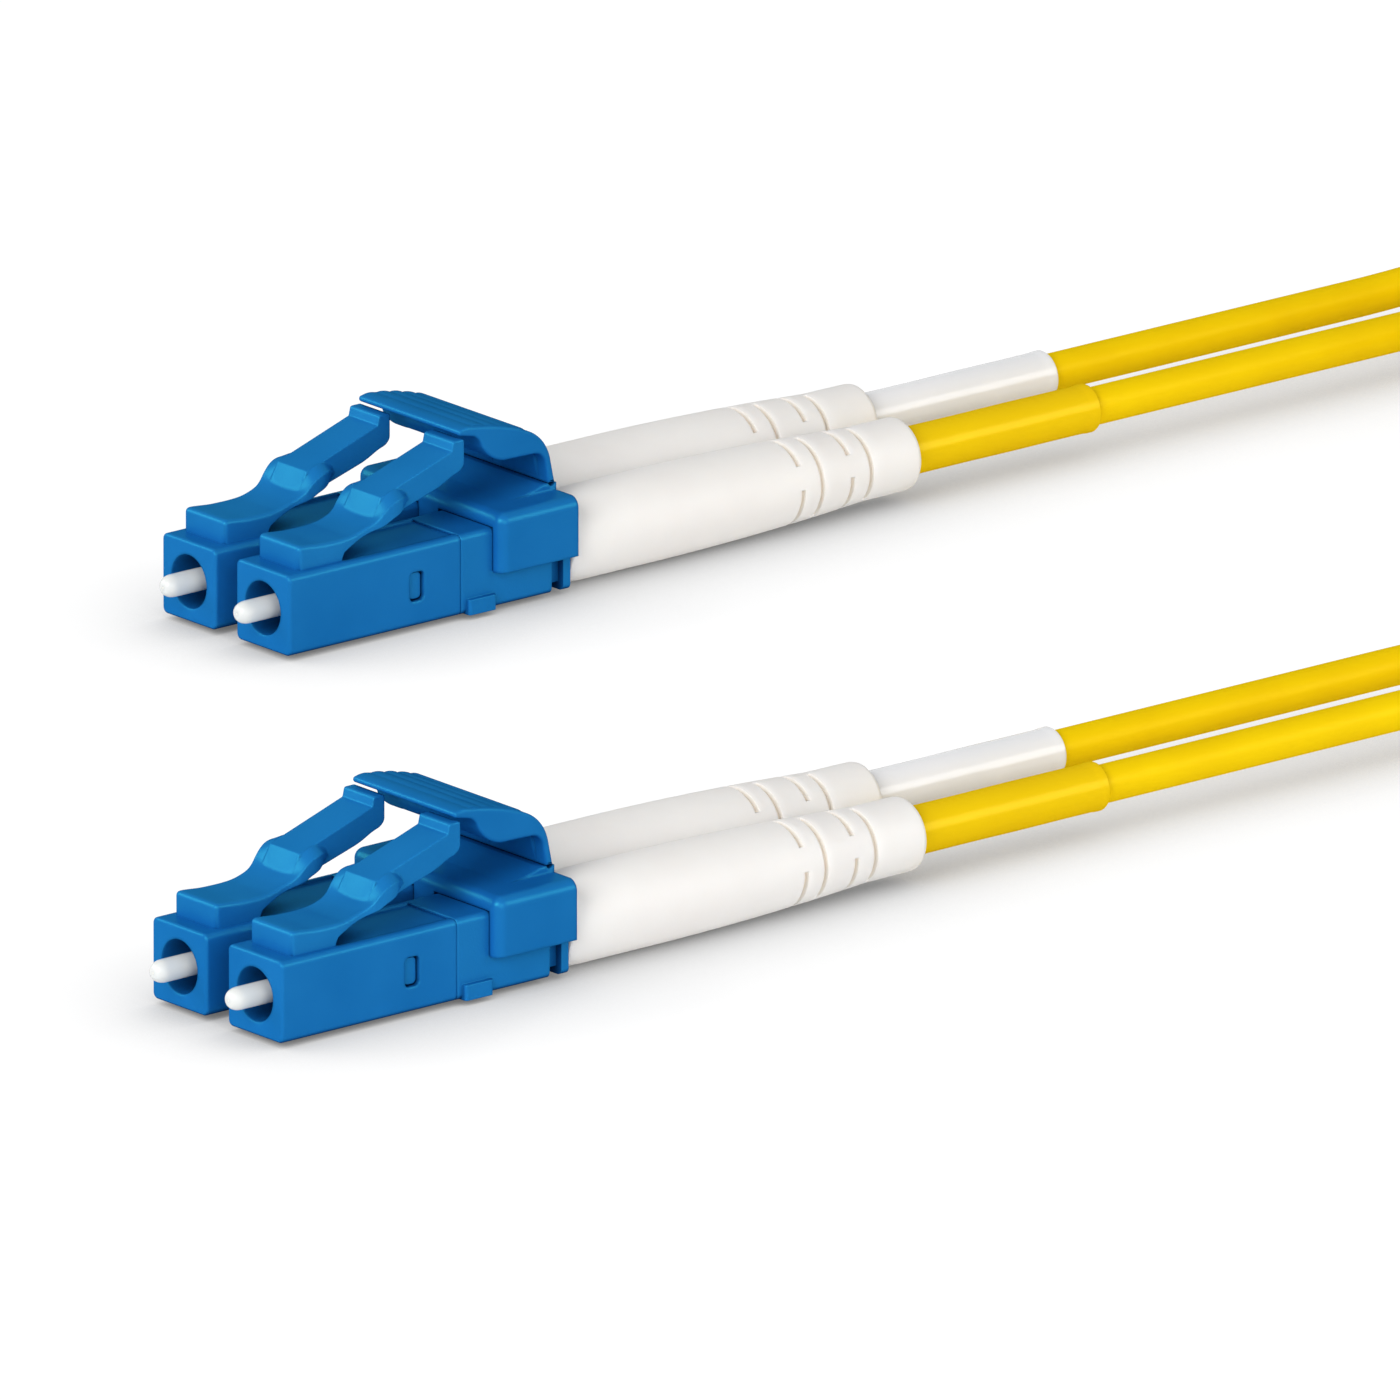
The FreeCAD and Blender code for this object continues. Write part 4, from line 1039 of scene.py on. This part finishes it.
@dataclass
class Latch:
    """The latch of one plug: a skin over the root block, the bending neck, a ramp with two ears, the arm.

    Attributes:
        neck_z: Height of the neck's middle; not used.
        bend: Where the bend begins and ends along the plug; not used.
        neck_rows: Where the loft's sections begin and end to stand close.
        middle: Height of the ramp's top along its middle.
        rim: Height of its top beside the arm.
        outer: Height of its top at the outer edges.
        low: Height of its underside.
        half: Half its width.
        edges: Radius of its outer edges.
        edge_fall: How fast that radius falls where the front draws in.
        land: The least width between the arm's side and the rounded edge.
        foot: Size of the cut on its lower edges.
    """

    neck_z: float = 3.07
    bend: tuple[float, float] = (4.45, 5.05)
    neck_rows: tuple[float, float] = (4.0, 4.8)
    front: float = 1.075
    block_edge: float = 0.25
    ear_end: float = 9.12
    edge_fall: float = 0.8
    land: float = 0.02
    foot: float = 0.05
    arm_half: float = 1.25
    arm_edge: float = 0.08
    middle: np.ndarray = rows(
        *ROOT_TOP, (4.75, 3.44), (5.35, 3.53), (5.8, 3.64), (6.2, 3.79), (6.62, 3.98), (7.2, 4.3),
        (8.2, 4.5), (9.12, 4.6))
    rim: np.ndarray = rows(
        *ROOT_TOP, (4.75, 3.45), (5.35, 3.555), (5.8, 3.68), (6.2, 3.84), (6.45, 3.97), (6.64, 4.12),
        (6.92, 4.56), (7.2, 4.92), (7.54, 5.2), (7.96, 5.34), (8.52, 5.25), (8.93, 4.98), (9.12, 4.72))
    outer: np.ndarray = rows(
        *ROOT_TOP, (4.75, 3.46), (5.35, 3.58), (5.8, 3.72), (6.2, 3.88), (6.5, 4.08), (6.8, 4.38),
        (7.1, 4.67), (7.4, 4.87), (7.7, 4.98), (8.1, 5.04), (8.4, 5.03), (8.8, 4.9), (9.12, 4.7))
    low: np.ndarray = rows(
        (1.07, 2.05), (4.02, 2.05), (4.1, 2.4), (4.25, 2.66), (4.5, 2.8), (4.75, 2.92), (5.24, 3.14),
        (5.93, 3.38), (6.91, 3.7), (7.4, 3.97), (8.0, 4.2), (8.3, 4.42), (8.7, 4.5), (9.12, 4.55))
    half: np.ndarray = rows(
        (1.07, 1.725), (4.7, 1.725), (5.3, 1.69), (5.9, 1.7), (6.3, 1.8), (6.7, 1.93), (7.0, 1.98),
        (7.9, 1.98), (8.15, 1.9), (9.12, 1.2))
    edges: np.ndarray = rows((3.9, 0.25), (5.8, 0.13), (7.0, 0.07))
    arm: np.ndarray = rows(
        (6.48, 3.75), (7.15, 5.07), (12.08, 6.68), (12.2, 7.2), (12.97, 7.2), (12.97, 5.75), (12.67, 5.45),
        (12.17, 5.30), (11.22, 4.83), (8.66, 4.08), (8.3, 4.2), (7.0, 3.86))
    arm_rounds: np.ndarray = rows(0.04, 0.04, 0.05, 0.14, 0.16, 0.2, 0.2, 0.25, 0.4, 0.05, 0.05, 0.05)

    def ramp(self) -> Shell:
        """The root, neck, ramp and ears as one loft.

        Sections stand along the plug. The top of each is a parabola from the middle to the arm's side and
        a straight line from there to the rounded outer edge. At the front the sections draw in as a
        quarter circle does.

        Returns:
            The closed shell in the plug's own frame.
        """
        angle = np.radians(np.linspace(0, 90, 6))
        head = self.front + self.block_edge * (1 - np.cos(angle))
        place = np.concatenate([head, np.linspace(head[-1] + 0.1, self.neck_rows[0] - 0.05, 14),
                                np.linspace(*self.neck_rows, 17),
                                np.linspace(self.neck_rows[1] + 0.07, self.ear_end, 60)])
        drawn = np.zeros(len(place))
        drawn[:len(head)] = self.block_edge * (1 - np.sin(angle))
        half, middle, rim, outer = (smooth_line(knots, place)[:, None] - drawn[:, None]
                                    for knots in (self.half, self.middle, self.rim, self.outer))
        low = np.interp(place, self.low[:, 0], self.low[:, 1])[:, None]
        radius = (np.interp(place, self.edges[:, 0], self.edges[:, 1]) - drawn * self.edge_fall)[:, None]
        side = np.minimum(self.arm_half, half - radius - self.land)
        out, across_top = np.linspace(0.2, 1.0, 5)[None, :], np.linspace(0.75, -0.75, 7)[None, :]
        corner_y, corner_z = half - radius + radius * np.cos(angle), outer - radius + radius * np.sin(angle)
        slope_y, slope_z = half - radius + (side - half + radius) * out, outer + (rim - outer) * out
        y = np.hstack([corner_y, slope_y, side * across_top, -slope_y[:, ::-1], -corner_y[:, ::-1],
                       -half, self.foot - half, half - self.foot, half])
        z = np.hstack([corner_z, slope_z, middle + (rim - middle) * across_top ** 2, slope_z[:, ::-1],
                       corner_z[:, ::-1], low + self.foot, low, low, low + self.foot])
        return loft(np.stack([np.broadcast_to(place[:, None], y.shape), y, z], -1))

    def build(self, plug: Plug) -> None:
        """Makes the latch of one plug, whose neck is where the real latch bends.

        Args:
            plug: The plug.
        """
        arm = across(rounding(rounded_outline(self.arm, self.arm_rounds), self.arm_half, self.arm_edge))
        made = piece(f"latch_{plug.tag}", [s.moved(plug.x, plug.y) for s in (self.ramp(), arm)],
                     "blue_grained", (f"latch_lever_{plug.tag}",), None)
        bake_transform(made)


@dataclass
class Ferrule:
    """The ceramic ferrule of one plug, a turned rod with a domed tip and the fiber's bore."""

    profile: np.ndarray = rows(
        (-1.8, 0.0705), (-1.8, 0.2), (-1.775, 0.31), (-1.71, 0.41), (-1.6, 0.5), (-1.45, 0.57),
        (-1.28, 0.612), (-1.1, 0.625), (0.5, 0.625), (2.0, 0.625), (3.6, 0.625), (4.68, 0.6), (4.7, 0.58),
        (4.7, 0.0705))
    columns: int = 96

    def build(self, plug: Plug) -> None:
        """Makes the ferrule of one plug.

        Args:
            plug: The plug.
        """
        shell = loft(turned(*self.profile.T, self.columns), True)
        piece(f"ceramic_ferrule_{plug.tag}", [shell.moved(plug.x, plug.y)], "white_ceramic",
              (f"ferrule_{plug.tag}",), f"ferrule_group_{plug.tag}", sharp=50.0)


@dataclass
class Spring:
    """The wire spring behind one ferrule's flange, which is pressed together as the ferrule goes back."""

    start: float = 6.78
    end: float = 12.25
    turns: float = 6.0
    radius: float = 0.975
    wire_r: float = 0.15
    ease: float = 0.07
    fixed: float = 12.45
    travel: float = 1.2
    rows: int = 288
    columns: int = 12

    def build(self, plug: Plug) -> None:
        """Makes the spring: a circle carried along a helix, whose first and last turns lie closed.

        The pitch is eased at both ends by a sine, so that the end turns lie nearly flat.

        Args:
            plug: The plug.
        """
        t = np.linspace(0, 1, self.rows)
        along = self.start + (self.end - self.start) * (t - self.ease * np.sin(4 * math.pi * t) / math.pi)
        turn = 2 * math.pi * self.turns * t
        line = np.column_stack([along, self.radius * np.cos(turn), self.radius * np.sin(turn)])
        way = np.gradient(line, axis=0)
        way /= np.linalg.norm(way, axis=1, keepdims=True)
        out = np.column_stack([np.zeros(self.rows), np.cos(turn), np.sin(turn)])
        third = np.cross(way, out)
        angle = np.linspace(0, 2 * math.pi, self.columns, endpoint=False)
        grid = line[:, None] + self.wire_r * (np.cos(angle)[None, :, None] * out[:, None]
                                              + np.sin(angle)[None, :, None] * third[:, None])
        made = piece(f"spring_{plug.tag}", [loft(grid).moved(plug.x, plug.y)], "spring_steel",
                     (f"ferrule_spring_{plug.tag}",))
        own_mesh(made)


@dataclass
class Boot:
    """The strain relief boot of one plug, turned, with four rings of two cuts that let it bend.

    Attributes:
        swell: Over what length behind its front the boot grows to its full radius.
        swell_power: How the radius grows over that length, as a power of the way.
        margins: How far the plain rows keep from the front and from the end.
        clear: How far they keep from a ring's start, before it and behind it.
        plain_rows: How many of them stand before, between and behind the rings.
        ring_rows: Where the rows of a ring stand from its start.
        ring_arc: How far a cut runs round the boot, in degrees.
        ring_lean: Where the first ring's cuts are centred, in degrees.
        wall_run: Over what length a cut's wall rises along the plug.
        wall_turn: Over how many degrees it rises round it.
    """

    front: float = 19.6
    end: float = 44.4
    crest: float = 26.0
    tip: float = 41.0
    swell: float = 1.6
    swell_power: float = 0.7
    full_r: float = 2.55
    tip_r: float = 2.05
    end_r: float = 2.03
    base_r: float = 2.45
    nose_round: float = 0.1
    tail_round: float = 0.3
    margins: tuple[float, float] = (0.12, 0.35)
    clear: tuple[float, float] = (0.2, 0.5)
    plain_rows: tuple[int, ...] = (34, 4, 6, 4, 8)
    rings: np.ndarray = rows(35.6, 37.0, 39.2, 40.6)
    ring_rows: np.ndarray = rows(-0.05, -0.02, 0.0, 0.03, 0.07, 0.11, 0.19, 0.23, 0.27, 0.3, 0.32, 0.35)
    ring_width: float = 0.34
    ring_depth: float = 0.28
    ring_arc: float = 144.0
    ring_lean: float = 70.0
    wall_run: float = 0.03
    wall_turn: float = 3.0
    bore_r: float = 1.385
    crimp_r: float = 1.75
    crimp_end: float = 25.5
    columns: int = 240

    def outer(self) -> tuple[np.ndarray, np.ndarray]:
        """The outer side's stations and radii.

        The radius grows to full behind the base, keeps it up to the crest, falls as the square of the way
        from there to the tip, and runs almost level to the rounded end.

        Returns:
            Places along the plug and the radius at each.
        """
        starts = (self.front + self.margins[0], *(self.rings + self.clear[1]))
        stops = (*(self.rings - self.clear[0]), self.end - self.margins[1])
        plain = [np.linspace(*stretch) for stretch in zip(starts, stops, self.plain_rows)]
        x = np.sort(np.concatenate([*plain, (self.rings[:, None] + self.ring_rows).ravel()]))
        grown = np.clip((x - self.front) / self.swell, 0, 1) ** self.swell_power
        fall = np.clip((x - self.crest) / (self.tip - self.crest), 0, 1) ** 2 * (self.full_r - self.tip_r)
        tail = np.clip((x - self.tip) / (self.end - self.tip), 0, 1) * (self.tip_r - self.end_r)
        return x, self.base_r + (self.full_r - self.base_r) * grown - fall - tail

    def cut_share(self, x: np.ndarray) -> np.ndarray:
        """How deep each point of the outer side lies in a cut, from 0 outside to 1 on its floor.

        Odd rings are turned by a quarter.

        Args:
            x: Places along the plug.

        Returns:
            One share for each place and column, whose angles run from +Y towards +Z.
        """
        angle = np.linspace(0, 360, self.columns, endpoint=False)
        share = np.zeros((len(x), len(angle)))
        half = self.ring_width / 2
        for index, start in enumerate(self.rings):
            along = np.clip((half + self.wall_run / 2 - np.abs(x - start - half)) / self.wall_run, 0, 1)
            off = np.abs((angle - self.ring_lean - 90 * (index % 2) + 90) % 180 - 90)
            inside = np.clip((self.ring_arc / 2 + self.wall_turn / 2 - off) / self.wall_turn, 0, 1)
            share = np.maximum(share, along[:, None] * inside[None, :])
        return share

    def build(self, plug: Plug) -> None:
        """Makes the boot of one plug.

        Args:
            plug: The plug.
        """
        x, radius = self.outer()
        share = self.cut_share(x)
        grown = self.front + self.swell
        x = x + plug.lane.extra * np.clip((x - grown) / (self.crest - grown), 0, 1)
        stop = self.end + plug.lane.extra
        cosine, sine = rim_steps(0, 30, 60, 90)
        nose = np.column_stack([self.front + self.nose_round * (1 - sine),
                                self.base_r - self.nose_round * (1 - cosine)])[::-1]
        tail = np.column_stack([stop - self.tail_round * (1 - sine),
                                self.end_r - self.tail_round * (1 - cosine)])
        bore = np.array([(stop, 1.45), (stop - 0.06, self.bore_r), (self.crimp_end, self.bore_r),
                         (self.crimp_end - 0.02, self.crimp_r), (self.front, self.crimp_r)])
        side = turned(x, radius[:, None] - self.ring_depth * share, self.columns)
        ends = [turned(*profile.T, self.columns) for profile in (nose, tail, bore)]
        grid = np.concatenate([ends[0], side, *ends[1:]])
        # Painted shade: the cuts take the boot's darker groove colour, as far in as they are cut.
        mark = np.zeros(grid.shape[:2])
        mark[len(nose):len(nose) + len(x)] = share
        piece(f"relief_boot_{plug.tag}", [loft(grid, True, mark=mark).moved(plug.x, plug.y)], "white_boot",
              (f"boot_{plug.tag}",), sharp=50.0)


@dataclass
class Marker:
    """The marker sleeve of one strand, pushed into the boot, with a soft lip at its free end.

    Attributes:
        fine: How far before the end the close rows begin and stop.
        wave: How much the wall's radius waves.
        wave_turn: How fast it waves, in radians for each millimetre.
        lip: How far the lip stands out.
        lip_start: How far before the end it begins.
        lip_run: Over what length it rises.
        lip_round: The radius of its rim.
    """

    start: float = 38.0
    end: float = 57.6
    fine: tuple[float, float] = (1.1, 0.16)
    outer_r: float = 1.325
    bore_r: float = 1.125
    wave: float = 0.012
    wave_turn: float = 0.9
    lip: float = 0.03
    lip_start: float = 0.75
    lip_run: float = 0.45
    lip_round: float = 0.14
    columns: int = 96

    def build(self, plug: Plug) -> None:
        """Makes the sleeve of one plug: a thin wall whose radius waves a little and ends in a lip.

        Args:
            plug: The plug.
        """
        x = np.concatenate([np.linspace(self.start, self.end - self.fine[0] - 0.1, 40),
                            np.linspace(self.end - self.fine[0], self.end - self.fine[1], 14)])
        near = np.clip((x - (self.end - self.lip_start)) / self.lip_run, 0, 1)
        radius = (self.outer_r - self.wave * (1 - np.cos((x - self.start) * self.wave_turn)) / 2
                  + self.lip * near * near * (3 - 2 * near))
        cosine, sine = rim_steps(15, 40, 65, 90)
        top = self.outer_r + self.lip
        tail = np.column_stack([self.end - self.lip_round * (1 - sine), top - self.lip_round * (1 - cosine)])
        inner = [(self.end, self.bore_r + 0.02), (self.end - 0.03, self.bore_r), (self.start, self.bore_r)]
        profile = np.concatenate([np.column_stack([x, radius]), tail, inner])
        shell = loft(turned(*profile.T, self.columns), True)
        piece(f"sleeve_{plug.tag}", [shell.moved(plug.x + plug.lane.extra, plug.y)],
              "yellow_sleeve" if plug.lane is Lane.NEAR else "white_sleeve",
              (f"marker_sleeve_{plug.tag}",), sharp=60.0)


# Duplex clip and trigger


def arc(points: tuple[tuple[float, float], ...], steps: int = 12) -> np.ndarray:
    """Points on the circle through three points, from the first to the last without the last.

    Args:
        points: The three points.
        steps: How many points.

    Returns:
        The points, one row each.
    """
    a, b, c = (np.array(p) for p in points)
    system = 2 * np.array([b - a, c - a])
    centre = np.linalg.solve(system, np.array([b @ b - a @ a, c @ c - a @ a]))
    start, middle, stop = (math.atan2(*(p - centre)[::-1]) for p in (a, b, c))
    full = 2 * math.pi
    sweep = (stop - start) % full
    if (middle - start) % full > sweep:
        sweep -= full
    angle = start + sweep * np.linspace(0, 1, steps, endpoint=False)
    return centre + np.linalg.norm(a - centre) * np.column_stack([np.cos(angle), np.sin(angle)])


def straight(start: tuple[float, float], end: tuple[float, float], steps: int) -> np.ndarray:
    """Points on a straight line from start to end, without the end."""
    t = np.linspace(0, 1, steps, endpoint=False)[:, None]
    return np.array(start) * (1 - t) + np.array(end) * t


@dataclass
class Trigger:
    """The thumb trigger of one end: a rounded plate on two side walls and a rib, hollow underneath.

    Attributes:
        knuckle_x: Where its knuckle stands behind the plugs' front faces; not used.
        wall: Width of each side wall.
        rib: Half the width of the rib.
        edge: Radius of its long edges.
        bend: Heights at which the bend begins and ends; not used.
        rim: How far from the long edges the treads stop.
        crown: Places and heights along the plate's top.
    """

    knuckle_x: float = 19.15
    half: float = 4.25
    wall: float = 0.8
    rib: float = 0.4
    edge: float = 0.12
    bend: tuple[float, float] = (3.72, 4.3)
    tread_start: float = 13.8
    tread_pitch: float = 0.9
    tread_count: int = 4
    tread_rise: float = 0.08
    rim: float = 0.2
    crown: np.ndarray = rows(
        (12.85, 7.7), (13.1, 7.75), (13.45, 7.76), (13.8, 7.7), (14.25, 7.63), (15.15, 7.47), (16.05, 7.25),
        (16.95, 6.98), (17.4, 6.78))

    def upper(self, treads: bool) -> np.ndarray:
        """The trigger's outer side from the nose over the top to the knuckle.

        The treads rise as the square root of a rectified sine, which leaves a narrow groove between two.

        Args:
            treads: Adds the treads, which end short of the long edges.

        Returns:
            Points of x and z.
        """
        nose = arc(((12.85, 7.36), (12.68, 7.53), (12.85, 7.70)), 8)
        x = np.linspace(12.87, 17.38, 130)
        phase = (x - self.tread_start) / self.tread_pitch
        inside = (phase > 0) & (phase < self.tread_count) & treads
        rise = np.where(inside, self.tread_rise * np.sqrt(np.abs(np.sin(math.pi * phase))), 0)
        top = np.column_stack([x, smooth_line(self.crown, x) + rise])
        back = arc(((17.4, 6.78), (18.5, 6.05), (19.1, 4.85)), 28)
        return np.concatenate([nose, top, back, straight((19.12, 4.75), (19.37, 3.55), 10)])

    def under(self, hollow: bool) -> np.ndarray:
        """The underside from the knuckle back to the nose.

        Args:
            hollow: Follows the front web and the pocket's roof instead of the walls' belly.

        Returns:
            Points of x and z, as many for both.
        """
        foot = straight((19.37, 3.55), (18.93, 3.55), 4)
        front = arc(((15.83, 5.42), (14.95, 5.80), (14.35, 6.47)), 13)
        throat = arc(((14.35, 6.47), (14.12, 6.9), (13.8, 7.15)), 12)
        if hollow:
            body = np.concatenate([
                straight((18.93, 3.55), (18.62, 4.55), 8),
                arc(((18.62, 4.55), (18.2, 5.65), (16.85, 6.45)), 20),
                straight((16.85, 6.45), (15.9, 6.74), 6),
                arc(((15.9, 6.74), (15.66, 6.66), (15.56, 6.4)), 4),
                straight((15.55, 6.3), (15.5, 5.95), 2), np.array([(15.36, 5.86)]), front[6:]])
        else:
            body = np.concatenate([
                straight((18.93, 3.55), (18.78, 4.6), 8),
                arc(((18.78, 4.6), (18.55, 5.1), (17.95, 5.37)), 20),
                straight((17.95, 5.37), (15.83, 5.42), 7), front])
        return np.concatenate([foot, body, throat, straight((13.8, 7.15), (12.85, 7.36), 6)])

    def build(self, end: End) -> None:
        """Makes the trigger of one end, whose foot sits on the clip's saddle, where the real trigger bends.

        The outline is carried across the trigger. Between the walls and beside the rib its underside
        follows the pocket's roof, and the long edges at both ends are rounded.

        Args:
            end: The cord's end.
        """
        rim = np.concatenate([self.upper(False), self.under(False)])
        full = np.concatenate([self.upper(True), self.under(False)])
        hollow = np.concatenate([self.upper(True), self.under(True)])
        views = rounding(rim, self.half, self.edge)
        views += [(self.half - self.rim + 0.04, rim), (self.half - self.rim, full),
                  (self.half - self.wall + 0.02, full), (self.half - self.wall, hollow),
                  (self.rib + 0.02, hollow), (self.rib, full)]
        x, y = end.value
        made = piece(f"thumb_trigger_{end.letter}", [across(views).moved(x, y)], "blue_plastic",
                     (f"trigger_{end.letter}",), None)
        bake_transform(made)


# The carried-over CAD pieces


@dataclass
class CadDress:
    """Gives each CAD node that still shows its finish."""

    finishes: dict[str, str] = field(default_factory=lambda: {
        "front_housing": "blue_plastic", "rear_housing": "blue_grained", "duplex_clip": "blue_plastic",
        "ferrule_flange": "plated_metal", "guide_tube": "clear_plastic", "buffered_fiber": "fiber_buffer",
        "backpost": "plated_metal", "crimp_sleeve": "crimp_metal", "coil_ties": "tie_plastic",
    })

    def dress(self) -> None:
        """Assigns its finish to every CAD node that isn't replaced, by the piece its name starts with."""
        for name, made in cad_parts.items():
            if made.hide_render:
                continue
            finish = self.finishes[name if name in self.finishes else name.rsplit("_", 1)[0]]
            made.data.materials.clear()
            made.data.materials.append(material(finish))
            LOG.info("%s: %s", name, finish)


def main() -> None:
    """Builds the camera, the cord, the plugs and the studio in order."""
    logging.basicConfig(level=logging.INFO, format="%(message)s")
    bpy.context.scene.view_settings.view_transform = "Standard"
    studio = Studio()
    studio.camera()
    Cord().build()
    for end in End:
        for lane in Lane:
            for part in (Latch(), Ferrule(), Spring(), Boot(), Marker()):
                part.build(Plug(end, lane))
        Trigger().build(end)
    CadDress().dress()
    studio.floor()
    studio.light()


if __name__ == "__main__":
    main()
